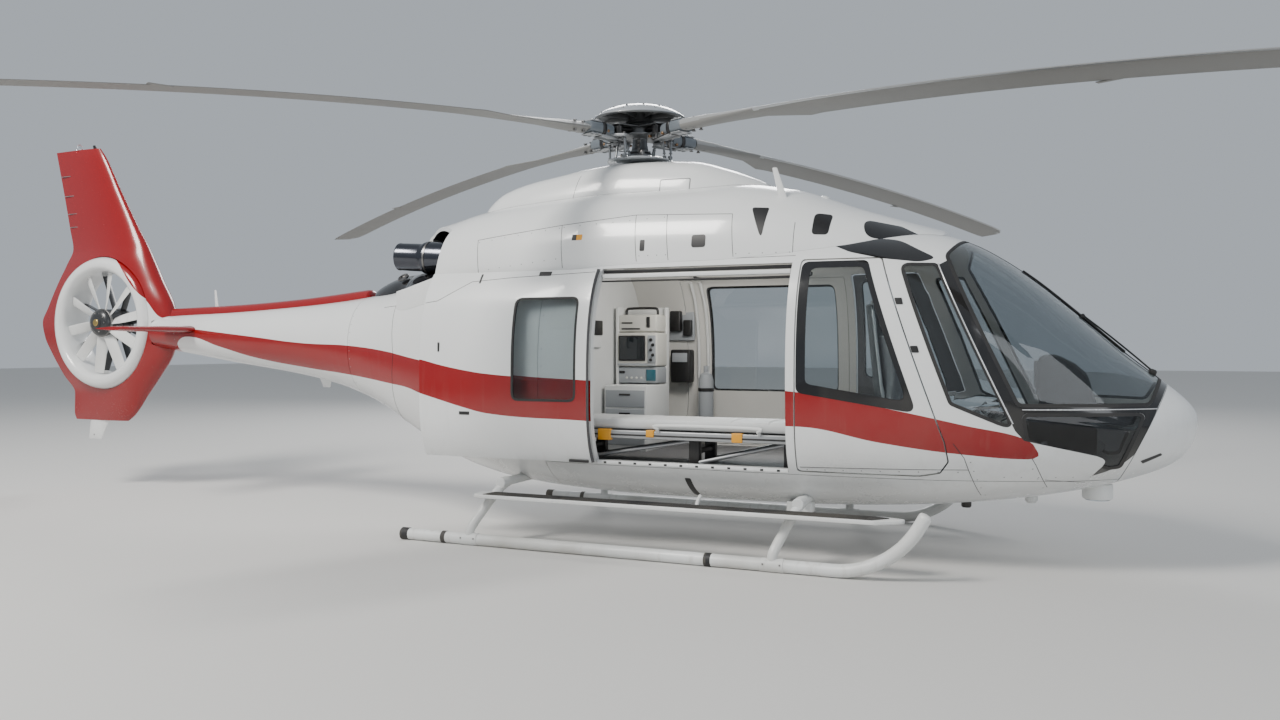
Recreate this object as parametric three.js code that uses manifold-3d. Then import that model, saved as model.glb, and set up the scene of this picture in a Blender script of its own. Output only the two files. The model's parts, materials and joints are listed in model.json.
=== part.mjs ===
// Light single-engine rescue helicopter, built in millimetres with +Z up.
// Every X below is counted from the rotor mast, +X towards the nose, and
// the whole group is moved forward by MAST_X so that the origin is under
// the middle of the bounding box, on the ground.
import * as THREE from "three";
import { mergeVertices } from "three/addons/utils/BufferGeometryUtils.js";
import Module from "manifold-3d";

const wasm = await Module();
wasm.setup();

// Driving dimensions.
const MAST_X = 1049.5;
const SEAT_GAP = 0.3;
const RING_POINTS = 30;

const WALL = 45;
const FLOOR_Z = 610;
const CABIN_REAR_X = -400;
const BOOM_JOINT_X = -2600;

const DOORWAY = { x0: 50, x1: 1490, z0: 625, z1: 2040 };
const DOOR_THICK = 40;
const SLIDE_BACK = -1445;
const SLIDE_OUT = 58;
const FRONT_DOOR_GAP = 12;
const FRONT_DOOR_THICK = 24;

const ROTOR_RADIUS = 5350;
const ROTOR_PLANE_Z = 3170;
const ROTOR_AZIMUTH = -26;
const BLADE_COUNT = 4;
const BLADE_DROOP = 420;
const BLADE_PITCH = 6;
const MAST_R = 100;

const DUCT = { x: -5985, z: 1708, r: 530, lip: 680, half: 180 };
const FAN_BLADES = 10;
const FAN_TIP_R = 521;
const FAN_PHASE = 0.16;
const FAN_PLANE_Y = -85;

const COWL_WALL = 30;
const EXHAUST = { from: [-1560, -250, 2205], dir: [-0.965, -0.13, 0.06], r: 138 };
const PIPE_CLEAR = 8;

const SKID_Y = 1150;
const SKID_R = 43;

// Outer skin of nose, cabin, aft body and boom. Columns: station X, half
// width, height of the widest line, top, bottom, roundness above, below.
const SKIN = [
  [-5275, 190, 1610, 1760, 1450, 2.0, 2.0],
  [-5100, 200, 1600, 1775, 1430, 2.0, 2.0],
  [-4240, 250, 1560, 1805, 1310, 2.0, 2.0],
  [-3500, 300, 1520, 1845, 1215, 2.0, 2.0],
  [-3000, 345, 1490, 1880, 1125, 2.1, 2.1],
  [-2600, 420, 1460, 1920, 1010, 2.2, 2.2],
  [-2300, 500, 1430, 1965, 890, 2.3, 2.3],
  [-2000, 595, 1400, 2020, 730, 2.5, 2.4],
  [-1650, 715, 1345, 2090, 575, 2.6, 2.5],
  [-1300, 820, 1290, 2150, 455, 2.8, 2.6],
  [-900, 905, 1235, 2200, 385, 2.9, 2.8],
  [-400, 970, 1180, 2250, 345, 3.0, 2.9],
  [200, 1000, 1150, 2280, 325, 3.0, 3.0],
  [1000, 1000, 1150, 2295, 322, 3.0, 3.0],
  [1500, 1000, 1145, 2300, 328, 3.0, 3.0],
  [1900, 1000, 1140, 2300, 342, 2.9, 2.9],
  [2200, 995, 1130, 2285, 360, 2.75, 2.8],
  [2400, 980, 1115, 2255, 375, 2.6, 2.7],
  [2600, 950, 1095, 2185, 395, 2.5, 2.6],
  [2800, 905, 1070, 2070, 420, 2.4, 2.5],
  [3000, 850, 1045, 1925, 450, 2.3, 2.4],
  [3200, 770, 1015, 1755, 488, 2.2, 2.3],
  [3400, 670, 985, 1575, 535, 2.1, 2.2],
  [3550, 575, 965, 1440, 578, 2.0, 2.1],
  [3700, 460, 955, 1315, 630, 2.0, 2.0],
  [3800, 370, 955, 1232, 675, 2.0, 2.0],
  [3900, 255, 960, 1145, 745, 2.0, 2.0],
  [3955, 160, 968, 1085, 825, 2.0, 2.0],
  [3985, 70, 975, 1030, 905, 2.0, 2.0],
];

// Engine cowling on the roof. Columns: X, half width, height of the widest
// line, top, roundness.
const COWL = [
  [-2040, 505, 1790, 2430, 2.6],
  [-1900, 560, 1800, 2480, 2.6],
  [-1650, 625, 1830, 2525, 2.6],
  [-1300, 700, 1880, 2600, 2.6],
  [-850, 750, 1930, 2665, 2.6],
  [0, 775, 1960, 2705, 2.7],
  [900, 775, 1970, 2700, 2.7],
  [1320, 755, 1980, 2640, 2.6],
  [1850, 690, 2000, 2460, 2.4],
  [2200, 570, 2030, 2350, 2.2],
  [2420, 420, 2060, 2285, 2.1],
];

// Raised fairing round the mast. Columns: X, half width, top, roundness.
const FAIRING = [
  [-1330, 250, 2610, 2.6],
  [-1240, 330, 2690, 2.8],
  [-1100, 375, 2770, 3.0],
  [-730, 415, 2850, 3.2],
  [0, 430, 2930, 3.2],
  [520, 420, 2905, 3.2],
  [810, 390, 2825, 3.0],
  [1000, 330, 2750, 2.8],
  [1110, 250, 2700, 2.6],
];
const FAIRING_BASE_Z = 2430;

// Fin and shroud. Columns: height, leading edge X, trailing edge X, half
// thickness.
const FIN = [
  [700, -5740, -6500, 35],
  [760, -5655, -6525, 55],
  [980, -5470, -6515, 100],
  [1160, -5315, -6675, 135],
  [1400, -5135, -6860, 160],
  [1560, -5090, -6960, 168],
  [1720, -5085, -7000, 170],
  [1880, -5130, -6915, 170],
  [2140, -5285, -6760, 160],
  [2330, -5390, -6630, 140],
  [2490, -5480, -6540, 105],
  [2700, -5620, -6590, 80],
  [3100, -5870, -6690, 58],
  [3440, -6075, -6780, 42],
  [3530, -6150, -6805, 28],
];

// Window and door outlines, seen from the side as X, Z.
const FRONT_DOOR = [[1556, 640], [2345, 640], [2469, 665], [2523, 740], [2505, 866],
  [2083, 2055], [1556, 2055]];
const FRONT_DOOR_GLASS = [[1612, 1215], [2300, 1105], [1985, 2010], [1612, 2010]];
const QUARTER_GLASS = [[2200, 2020], [2540, 1105], [2940, 935], [2438, 2015]];
const WINDSCREEN = [
  [2936, 1095], [3700, 1095], [3800, 1305], [3900, 2600], [2785, 2600], [2470, 2075],
];
const CHIN_GLASS = [[2960, 1055], [2985, 880], [3455, 690], [3530, 700], [3680, 1055]];
const RIGHT_SLIDE_GLASS = [[868, 1070], [1400, 1070], [1400, 1830], [868, 1830]];
const LEFT_SLIDE_GLASS = [[270, 1080], [1400, 1080], [1400, 1985], [270, 1985]];
const NOSE_SEAM = { x: 3805, z: 1210, slope: 0.476 };

// Front door hinge line, starboard side.
const HINGE_LOW = [2325, -1012, 1450];
const HINGE_HIGH = [2215, -972, 1760];
const HINGE_PIN_R = 7;
const HINGE_LEN = 60;

// Solids from three.js geometries.

function signedVolume(p, t) {
  let sum = 0;
  for (let i = 0; i < t.length; i += 3) {
    const a = t[i] * 3;
    const b = t[i + 1] * 3;
    const c = t[i + 2] * 3;
    sum += p[a] * (p[b + 1] * p[c + 2] - p[b + 2] * p[c + 1]);
    sum += p[a + 1] * (p[b + 2] * p[c] - p[b] * p[c + 2]);
    sum += p[a + 2] * (p[b] * p[c + 1] - p[b + 1] * p[c]);
  }
  return sum / 6;
}

function solid(geometry) {
  geometry.deleteAttribute("normal");
  geometry.deleteAttribute("uv");
  const whole = mergeVertices(geometry, 0.001);
  const points = new Float32Array(whole.attributes.position.array);
  const source = whole.index.array;
  const kept = [];
  for (let i = 0; i < source.length; i += 3) {
    const [a, b, c] = [source[i], source[i + 1], source[i + 2]];
    if (a !== b && b !== c && c !== a) {
      kept.push(a, b, c);
    }
  }
  if (signedVolume(points, kept) < 0) {
    for (let i = 0; i < kept.length; i += 3) {
      [kept[i + 1], kept[i + 2]] = [kept[i + 2], kept[i + 1]];
    }
  }
  const triVerts = new Uint32Array(kept);
  return new wasm.Manifold(new wasm.Mesh({ numProp: 3, vertProperties: points, triVerts }));
}

function toGeometry(shape) {
  const mesh = shape.getMesh();
  const geometry = new THREE.BufferGeometry();
  const position = new Float32Array(mesh.vertProperties);
  geometry.setAttribute("position", new THREE.BufferAttribute(position, 3));
  geometry.setIndex(new THREE.BufferAttribute(new Uint32Array(mesh.triVerts), 1));
  return geometry;
}

function shifted(shape, dx, dy, dz) {
  return solid(toGeometry(shape).translate(dx, dy, dz));
}

// Rings of equal length, joined side to side and closed by a fan at each end.
function loft(rings) {
  const n = rings[0].length;
  const last = (rings.length - 1) * n;
  const points = rings.flat();
  const index = [];
  for (let a = 0; a < last; a += 1) {
    const b = a - (a % n) + ((a + 1) % n);
    index.push(a, b, b + n, a, b + n, a + n);
  }
  for (const start of [0, last]) {
    const centre = points.length;
    const ring = points.slice(start, start + n);
    points.push([0, 1, 2].map((k) => ring.reduce((sum, p) => sum + p[k], 0) / n));
    for (let j = 0; j < n; j += 1) {
      const a = start + j;
      const b = start + ((j + 1) % n);
      index.push(centre, start ? a : b, start ? b : a);
    }
  }
  const geometry = new THREE.BufferGeometry();
  geometry.setAttribute("position", new THREE.Float32BufferAttribute(points.flat(), 3));
  geometry.setIndex(index);
  return solid(geometry);
}

function box(x0, x1, y0, y1, z0, z1) {
  const geometry = new THREE.BoxGeometry(x1 - x0, y1 - y0, z1 - z0);
  return solid(geometry.translate((x0 + x1) / 2, (y0 + y1) / 2, (z0 + z1) / 2));
}

// Flat outline pushed along Y: the outline is X, Z pairs.
function prism(outline, y0, y1) {
  const shape = new THREE.Shape(outline.map(([x, z]) => new THREE.Vector2(x, z)));
  const geometry = new THREE.ExtrudeGeometry(shape, { depth: y1 - y0, bevelEnabled: false });
  return solid(geometry.rotateX(Math.PI / 2).translate(0, y1, 0));
}

// Moves each edge of a convex outline inwards by d.
function inset(outline, d) {
  const n = outline.length;
  let area = 0;
  outline.forEach(([x, z], i) => {
    const [x2, z2] = outline[(i + 1) % n];
    area += x * z2 - x2 * z;
  });
  const s = area > 0 ? 1 : -1;
  const lines = outline.map(([x, z], i) => {
    const [x2, z2] = outline[(i + 1) % n];
    const len = Math.hypot(x2 - x, z2 - z);
    const nx = (-(z2 - z) / len) * s;
    const nz = ((x2 - x) / len) * s;
    return [nx, nz, nx * x + nz * z + d];
  });
  return lines.map((b, i) => {
    const a = lines[(i + n - 1) % n];
    const det = a[0] * b[1] - a[1] * b[0];
    return [(a[2] * b[1] - a[1] * b[2]) / det, (a[0] * b[2] - a[2] * b[0]) / det];
  });
}

// Rounds the corners of an outline with short arcs.
function soften(outline, r, steps = 2) {
  const n = outline.length;
  const out = [];
  outline.forEach((p, i) => {
    const a = outline[(i + n - 1) % n];
    const b = outline[(i + 1) % n];
    const la = Math.hypot(a[0] - p[0], a[1] - p[1]);
    const lb = Math.hypot(b[0] - p[0], b[1] - p[1]);
    const ua = [(a[0] - p[0]) / la, (a[1] - p[1]) / la];
    const ub = [(b[0] - p[0]) / lb, (b[1] - p[1]) / lb];
    const half = Math.acos(ua[0] * ub[0] + ua[1] * ub[1]) / 2;
    const d = Math.min(r / Math.tan(half), la * 0.4, lb * 0.4);
    for (let k = 0; k <= steps; k += 1) {
      const s = k / steps;
      const wa = (1 - s) * (1 - s) * d;
      const wb = s * s * d;
      out.push([p[0] + ua[0] * wa + ub[0] * wb, p[1] + ua[1] * wa + ub[1] * wb]);
    }
  });
  return out;
}

const join = (list) => list.reduce((a, b) => a.add(b));
const cut = (a, ...rest) => rest.reduce((s, b) => s.subtract(b), a);
const common = (a, ...rest) => rest.reduce((s, b) => s.intersect(b), a);

// Turned shape on a line from origin along axis. Columns of profile: radius,
// distance along the axis. Both ends close on the axis.
function turned(profile, origin, axis, segments) {
  const ends = [[0, profile[0][1]], ...profile, [0, profile[profile.length - 1][1]]];
  const points = ends.map(([r, h]) => new THREE.Vector2(r, h));
  const geometry = new THREE.LatheGeometry(points, segments);
  const turn = new THREE.Quaternion();
  turn.setFromUnitVectors(new THREE.Vector3(0, 1, 0), new THREE.Vector3(...axis).normalize());
  return solid(geometry.applyQuaternion(turn).translate(...origin));
}

// Path through points, bent at each of them and nowhere else.
class Polyline extends THREE.Curve {
  constructor(points) {
    super();
    this.points = points.map((p) => new THREE.Vector3(...p));
  }

  getPoint(t) {
    const at = t * (this.points.length - 1);
    const i = Math.min(Math.floor(at), this.points.length - 2);
    return this.points[i].clone().lerp(this.points[i + 1], at - i);
  }

  getSpacedPoints(divisions) {
    return this.getPoints(divisions);
  }

  getTangentAt(u) {
    const i = Math.round(u * (this.points.length - 1));
    const tangent = new THREE.Vector3();
    for (const k of [Math.max(i - 1, 0), Math.min(i, this.points.length - 2)]) {
      tangent.add(this.points[k + 1].clone().sub(this.points[k]).normalize());
    }
    return tangent.normalize();
  }
}

// Bar with flat sides along a path, so that it rests on a flat.
function bar(path, radius, segments = 8) {
  const corners = [];
  for (let k = 0; k < segments; k += 1) {
    const a = (2 * Math.PI * (k + 0.5)) / segments;
    const r = radius / Math.cos(Math.PI / segments);
    corners.push(new THREE.Vector2(r * Math.cos(a), r * Math.sin(a)));
  }
  const extrudePath = new Polyline(path);
  const steps = path.length - 1;
  return solid(new THREE.ExtrudeGeometry(new THREE.Shape(corners), { steps, extrudePath }));
}

function power(c, n) {
  return Math.sign(c) * Math.abs(c) ** (2 / n);
}

function skin(d) {
  return loft(SKIN.map(([x, w, zw, zt, zb, nu, nl]) => {
    const ring = [];
    for (let k = 0; k < RING_POINTS; k += 1) {
      const t = (2 * Math.PI * k) / RING_POINTS;
      const up = Math.sin(t) >= 0;
      const n = up ? nu : nl;
      const h = up ? zt + d - zw : zw - zb + d;
      ring.push([x, Math.max(w + d, 6) * power(Math.cos(t), n), zw + h * power(Math.sin(t), n)]);
    }
    return ring;
  }));
}

function cowl(d) {
  return loft(COWL.map(([x, w, zw, zt, n], i) => {
    const end = i === 0 ? -1 : 1;
    const xx = i === 0 || i === COWL.length - 1 ? x + end * d : x;
    const ring = [];
    for (let k = 0; k < 24; k += 1) {
      const t = (2 * Math.PI * k) / 24;
      const h = Math.sin(t) >= 0 ? zt + d - zw : 260;
      ring.push([xx, (w + d) * power(Math.cos(t), n), zw + h * power(Math.sin(t), n)]);
    }
    return ring;
  }));
}

function mastFairing() {
  return loft(FAIRING.map(([x, w, zt, n]) => {
    const ring = [];
    for (let k = 0; k < 20; k += 1) {
      const t = (2 * Math.PI * k) / 20;
      const h = Math.sin(t) >= 0 ? zt - FAIRING_BASE_Z : 60;
      ring.push([x, w * power(Math.cos(t), n), FAIRING_BASE_Z + h * power(Math.sin(t), n)]);
    }
    return ring;
  }));
}

// Section of a fin or wing at one station: leading edge, trailing edge and
// half thickness give a rounded nose and a thin tail.
const FOIL = [
  [0, 0], [0.05, 0.6], [0.3, 1], [0.65, 0.7], [1, 0.1],
];

function foil(lead, tail, half) {
  const upper = FOIL.map(([s, h]) => [lead + (tail - lead) * s, h * half]);
  const lower = FOIL.slice(1).reverse().map(([s, h]) => [lead + (tail - lead) * s, -h * half]);
  return [...upper, ...lower];
}

const parts = [];

function add(name, shape, colour, look = {}) {
  const geometry = toGeometry(shape);
  geometry.computeVertexNormals();
  const material = new THREE.MeshStandardMaterial({
    color: colour, roughness: 0.5, metalness: 0, side: THREE.DoubleSide, ...look,
  });
  const node = new THREE.Mesh(geometry, material);
  node.name = name;
  parts.push(node);
}

const WHITE = 0xf2f3f2;
const RED = 0xb5161c;
const BLACK = 0x17181a;
const GREY = 0x8b9096;
const GLASS = { transparent: true, opacity: 0.4, roughness: 0.05 };

// Landing gear lines.

function arcPath(side) {
  const y = side * SKID_Y;
  const pts = [[-1460, y, SKID_R], [1850, y, SKID_R]];
  const radius = 620;
  for (let k = 1; k <= 6; k += 1) {
    const a = (k / 6) * 1.05;
    pts.push([1850 + radius * Math.sin(a), y, SKID_R + radius * (1 - Math.cos(a))]);
  }
  const last = pts[pts.length - 1];
  pts.push([last[0] + 90 * Math.cos(1.05), y, last[2] + 90 * Math.sin(1.05)]);
  return pts;
}

function archPath(x0, x1) {
  const half = [[1150, 60, 0], [1145, 120, 0.02], [1060, 235, 0.4], [960, 340, 0.75],
    [860, 400, 0.95], [740, 420, 1]];
  const top = x1 > 0 ? 0 : 22;
  const at = (s) => half.map(([y, z, f]) => [x0 + (x1 - x0) * f, s * y, z + top * f]);
  return [...at(-1), ...at(1).reverse()];
}

const tubeR = 34;
const arches = { front: archPath(1450, 1560), rear: archPath(-870, -740) };
const skids = { right: arcPath(-1), left: arcPath(1) };
const skidTube = (word, grow) => bar(skids[word], SKID_R + grow);

// Fuselage.

const outer = skin(0);
const inner = skin(-WALL);
const clear = skin(SEAT_GAP);

function noseRegion(shift) {
  const at = (z) => NOSE_SEAM.x + shift + NOSE_SEAM.slope * (z - NOSE_SEAM.z);
  return prism([[at(200), 200], [4300, 200], [4300, 1800], [at(1800), 1800]], -1500, 1500);
}

add("nose_cap", common(outer, noseRegion(0)), WHITE);

const hullBlock = box(CABIN_REAR_X, 4300, -1500, 1500, 200, FLOOR_Z);
const tunnel = (word) => bar(arches[word], tubeR + SEAT_GAP);
add("lower_hull", cut(common(outer, hullBlock), noseRegion(-SEAT_GAP), tunnel("front")), WHITE);

// Both ends of each door and window cutter reach past the skin.
function sideCut(outline, side, depth = 400) {
  return side < 0 ? prism(outline, -1500, -depth) : prism(outline, depth, 1500);
}

const rect = ({ x0, x1, z0, z1 }) => [[x0, z0], [x1, z0], [x1, z1], [x0, z1]];

// Point on a hinge: h along the pin, a forward, b outboard.
function hingeFrame(side) {
  const low = new THREE.Vector3(HINGE_LOW[0], -side * HINGE_LOW[1], HINGE_LOW[2]);
  const high = new THREE.Vector3(HINGE_HIGH[0], -side * HINGE_HIGH[1], HINGE_HIGH[2]);
  const axis = high.clone().sub(low).normalize();
  const ahead = new THREE.Vector3(1, 0, 0);
  ahead.sub(axis.clone().multiplyScalar(ahead.dot(axis))).normalize();
  const out = axis.clone().cross(ahead).multiplyScalar(side);
  const at = (c, h, a, b) => c.clone()
    .add(axis.clone().multiplyScalar(h))
    .add(ahead.clone().multiplyScalar(a))
    .add(out.clone().multiplyScalar(b))
    .toArray();
  return { low, high, axis, at };
}

// Fixed half of a hinge: a foot in the pillar with a pin standing on it.
function hingeFixed(side, c) {
  const { axis, at } = hingeFrame(side);
  const foot = [-HINGE_LEN / 2 - 26, -HINGE_LEN / 2 - 0.5].map((h) => (
    [[-9, 9], [46, 9], [46, -60], [-9, -60]].map(([a, b]) => at(c, h, a, b))
  ));
  const pin = [[HINGE_PIN_R, -HINGE_LEN / 2 - 10], [HINGE_PIN_R, HINGE_LEN / 2 - 4]];
  return loft(foot).add(turned(pin, c.toArray(), axis.toArray(), 12));
}

// Moving half of a hinge: a bored knuckle with a strap back to the door.
function hingeMoving(side, c) {
  const { axis, at } = hingeFrame(side);
  const end = HINGE_LEN / 2;
  const dir = axis.toArray();
  const knuckle = turned([[15, -end], [15, end]], c.toArray(), dir, 12);
  const strap = [-end, end].map((h) => (
    [[-110, 12], [0, 12], [0, -4], [-36, -8], [-46, -45], [-110, -45]]
      .map(([a, b]) => at(c, h, a, b))
  ));
  const bore = HINGE_PIN_R / Math.cos(Math.PI / 12) + 0.08;
  const hole = turned([[bore, -HINGE_LEN], [bore, HINGE_LEN]], c.toArray(), dir, 12);
  return { body: knuckle.add(loft(strap)), hole };
}

const cabinBlock = box(CABIN_REAR_X, 4300, -1500, 1500, FLOOR_Z + SEAT_GAP, 2700);
let cabin = common(cut(outer, inner), cabinBlock);
cabin = cut(cabin, noseRegion(-SEAT_GAP));
const frontDoorway = inset(FRONT_DOOR, -FRONT_DOOR_GAP);
const windscreenGlass = soften(WINDSCREEN, 60);
for (const side of [-1, 1]) {
  cabin = cut(cabin, sideCut(rect(DOORWAY), side));
  cabin = cut(cabin, sideCut(soften(frontDoorway, 40), side));
  cabin = cut(cabin, sideCut(soften(QUARTER_GLASS, 50), side));
  cabin = cut(cabin, sideCut(soften(CHIN_GLASS, 45), side, 30));
  cabin = cut(cabin, sideCut(windscreenGlass, side, 30));
}
for (const side of [-1, 1]) {
  const { low, high } = hingeFrame(side);
  cabin = join([cabin, hingeFixed(side, low), hingeFixed(side, high)]);
}
add("cabin_shell", cabin, WHITE);

const paneShell = cut(skin(-2), skin(-10));
function pane(name, outline, side, depth, move = [0, 0]) {
  let shape = common(paneShell, sideCut(inset(outline, SEAT_GAP), side, depth));
  if (move[0] || move[1]) {
    shape = shifted(shape, move[0], move[1], 0);
  }
  add(name, shape, 0x9fb4bf, GLASS);
}

for (const [word, side] of [["right", -1], ["left", 1]]) {
  pane(`windscreen_${word}`, windscreenGlass, side, 30 + SEAT_GAP);
  pane(`chin_window_${word}`, soften(CHIN_GLASS, 45), side, 30 + SEAT_GAP);
  pane(`quarter_window_${word}`, soften(QUARTER_GLASS, 50), side, 400);
}

// Aft body and boom.
const aftBlock = box(BOOM_JOINT_X, CABIN_REAR_X - SEAT_GAP, -1500, 1500, 0, 2700);
add("aft_fuselage", cut(common(outer, aftBlock), tunnel("rear")), WHITE);

const stabSection = (y, lead, tail, half) => foil(lead, tail, half)
  .map(([x, h]) => [x, y, 1630 + h]);
function stabilizer(extra) {
  return loft([
    stabSection(-1000, -4670 + extra, -4985 - extra, 16 + extra),
    stabSection(-960, -4640 + extra, -4995 - extra, 23 + extra),
    stabSection(0, -4580 + extra, -5020 - extra, 34 + extra),
    stabSection(960, -4640 + extra, -4995 - extra, 23 + extra),
    stabSection(1000, -4670 + extra, -4985 - extra, 16 + extra),
  ]);
}
const boomBlock = box(-5400, BOOM_JOINT_X - SEAT_GAP, -1500, 1500, 0, 2700);
add("tail_boom", cut(common(outer, boomBlock), stabilizer(SEAT_GAP)), WHITE);
add("horizontal_stabilizer", stabilizer(0), RED);

const SPINE = [[-5080, 75, 1845], [-4240, 85, 1868], [-3500, 92, 1908], [-2640, 100, 1985]];
const spine = loft(SPINE.map(([x, w, zt]) => {
  const ring = [];
  for (let k = 0; k < 16; k += 1) {
    const t = (2 * Math.PI * k) / 16;
    const h = Math.sin(t) >= 0 ? 115 : 60;
    ring.push([x, w * power(Math.cos(t), 2.6), zt - 115 + h * power(Math.sin(t), 2.6)]);
  }
  return ring;
}));
add("spine_fairing", cut(spine, clear), RED);

// Engine deck.

// The cowling is cut away round the exhaust: X, Y seen from above and X, Z
// seen from the side.
const NOTCH_PLAN = [[-1350, -600], [-1990, 0], [-2300, 0], [-2300, -900], [-1350, -900]];
const NOTCH_SIDE = [[-1400, 2700], [-1500, 2340], [-1535, 2030], [-1880, 1950], [-2300, 1880],
  [-2300, 2700]];

function notch(shift) {
  const plan = inset(NOTCH_PLAN, shift);
  const walls = loft([1700, 2800].map((z) => plan.map(([x, y]) => [x, y, z])));
  return common(walls, prism(inset(NOTCH_SIDE, shift), -1000, 100));
}

const mastHole = turned([[MAST_R + 8, 2300], [MAST_R + 8, 3100]], [0, 0, 0], [0, 0, 1], 24);
const pipeHole = turned([[EXHAUST.r + SEAT_GAP, 260], [EXHAUST.r + SEAT_GAP, 1400]],
  EXHAUST.from, EXHAUST.dir, 16);
add("engine_cowling", cut(cowl(0), cowl(-COWL_WALL), clear, mastHole, pipeHole, notch(0)),
  WHITE);
add("mast_fairing", cut(mastFairing(), cowl(SEAT_GAP), mastHole), WHITE);
add("engine_block", cut(box(-1480, -560, -280, 280, 2120, 2480), clear), GREY,
  { metalness: 0.6 });
const gearBore = (MAST_R + 0.1) / Math.cos(Math.PI / 24);
add("gearbox_block", cut(box(-330, 330, -260, 260, 2200, 2600), clear,
  turned([[gearBore, 2500], [gearBore, 2900]], [0, 0, 0], [0, 0, 1], 24)), GREY,
  { metalness: 0.6 });

const pipeOut = turned([[EXHAUST.r, 0], [EXHAUST.r, 300], [118, 350], [116, 560]],
  EXHAUST.from, EXHAUST.dir, 20);
const pipeIn = turned([[126, -10], [126, 290], [106, 340], [106, 570]],
  EXHAUST.from, EXHAUST.dir, 20);
add("exhaust_pipe", cut(pipeOut, pipeIn, clear), 0x3a3634, { metalness: 0.8 });

// Black shield under the pipe. Columns: X, half width, top.
const SHIELD = [[-2630, 110, 1930], [-2480, 190, 2010], [-2280, 260, 2075], [-2080, 320, 2105],
  [-1900, 480, 2115], [-1600, 540, 2120]];
const shield = loft(SHIELD.map(([x, w, zt]) => {
  const ring = [];
  for (let k = 0; k < 16; k += 1) {
    const t = (2 * Math.PI * k) / 16;
    const h = Math.sin(t) >= 0 ? 260 : 40;
    ring.push([x, w * power(Math.cos(t), 2.6), zt - 260 + h * power(Math.sin(t), 2.6)]);
  }
  return ring;
}));
const cowlWall = cut(cowl(SEAT_GAP), cowl(-COWL_WALL - SEAT_GAP), notch(SEAT_GAP));
const saddle = turned([[EXHAUST.r + PIPE_CLEAR, -200], [EXHAUST.r + PIPE_CLEAR, 1400]],
  EXHAUST.from, EXHAUST.dir, 20);
add("heat_shield", cut(shield, clear, cowlWall, saddle, spine), BLACK);

// Tail fin and ducted fan.

const across = [0, 1, 0];
const ductAt = [DUCT.x, 0, DUCT.z];
const SEG = 36;
const finBody = loft(FIN.map(([z, lead, tail, half]) => foil(lead, tail, half)
  .map(([x, y]) => [x, y, z])));
const ringSlot = turned([[DUCT.lip + SEAT_GAP, -400], [DUCT.lip + SEAT_GAP, 400]],
  ductAt, across, SEG);
add("fin_shroud", cut(finBody, ringSlot, clear, spine), RED);

function ductWall(grow) {
  return turned([[DUCT.r + 60 + grow, -DUCT.half - 1], [DUCT.r + 20 + grow, -DUCT.half + 25],
    [DUCT.r + grow, -DUCT.half + 75], [DUCT.r + grow, DUCT.half - 60],
    [DUCT.r + 40 + grow, DUCT.half + 1]], ductAt, across, SEG);
}
const ringEdge = [[90, 0], [40, 22], [10, 65], [0, 110]].map(([inward, back]) => (
  [DUCT.lip - inward, DUCT.half - back]
));
const ringFront = ringEdge.map(([r, y]) => [r, -y]);
const ringOut = turned([...ringFront, ...ringEdge.reverse()], ductAt, across, SEG);
add("duct_ring", cut(ringOut, ductWall(0)), WHITE);

const spokes = [];
for (let k = 0; k < 8; k += 1) {
  const a = (2 * Math.PI * (k + 0.5)) / 8;
  const c = Math.cos(a);
  const s = Math.sin(a);
  const at = (r, o, y) => [DUCT.x + c * r - s * o, y, DUCT.z + s * r + c * o];
  spokes.push(loft([110, 600].map((r) => [
    at(r, -14, 60), at(r, 14, 50), at(r, 14, 130), at(r, -14, 140),
  ])));
}
const statorHub = turned([[140, 32], [145, 150], [110, 178]], ductAt, across, 20);
const fanPin = turned([[25, -70], [25, 60]], ductAt, across, 12);
const insideDuct = ductWall(-SEAT_GAP);
add("stator", join([common(join([statorHub, ...spokes]), insideDuct), fanPin]), GREY,
  { metalness: 0.5 });

const fanBits = [turned([[68, -185], [126, -162], [140, -132], [140, 26]], ductAt, across, 24)];
for (let k = 0; k < FAN_BLADES; k += 1) {
  const a = (2 * Math.PI * k) / FAN_BLADES + FAN_PHASE;
  const c = Math.cos(a);
  const s = Math.sin(a);
  const rings = [[120, 36, 34], [250, 46, 28], [FAN_TIP_R - 2, 50, 15]].map(([r, o, y]) => {
    const at = (oo, yy) => [DUCT.x + c * r - s * oo, FAN_PLANE_Y + yy, DUCT.z + s * r + c * oo];
    return [at(-o, -y - 5), at(-o, -y + 5), at(o, y + 5), at(o, y - 5)];
  });
  fanBits.push(loft(rings));
}
const fanBore = 25.05 / Math.cos(Math.PI / 12);
add("tail_fan", cut(join(fanBits), turned([[fanBore, -75], [fanBore, 60]], ductAt, across, 12)),
  0xc9ccd0, { metalness: 0.3 });

// Columns: height, rear end, front end, half thickness.
const BUMPER = [[500, -6320, -6130, 10], [560, -6312, -6100, 16], [699.5, -6290, -6010, 28]];
add("tail_bumper", loft(BUMPER.map(([z, a, b, h]) => [
  [a, -h, z], [b, -h, z], [b, h, z], [a, h, z],
])), WHITE);

// Doors.

const doorShell = cut(skin(0), skin(-DOOR_THICK));
const frontDoorShell = cut(skin(0), skin(-FRONT_DOOR_THICK));

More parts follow.
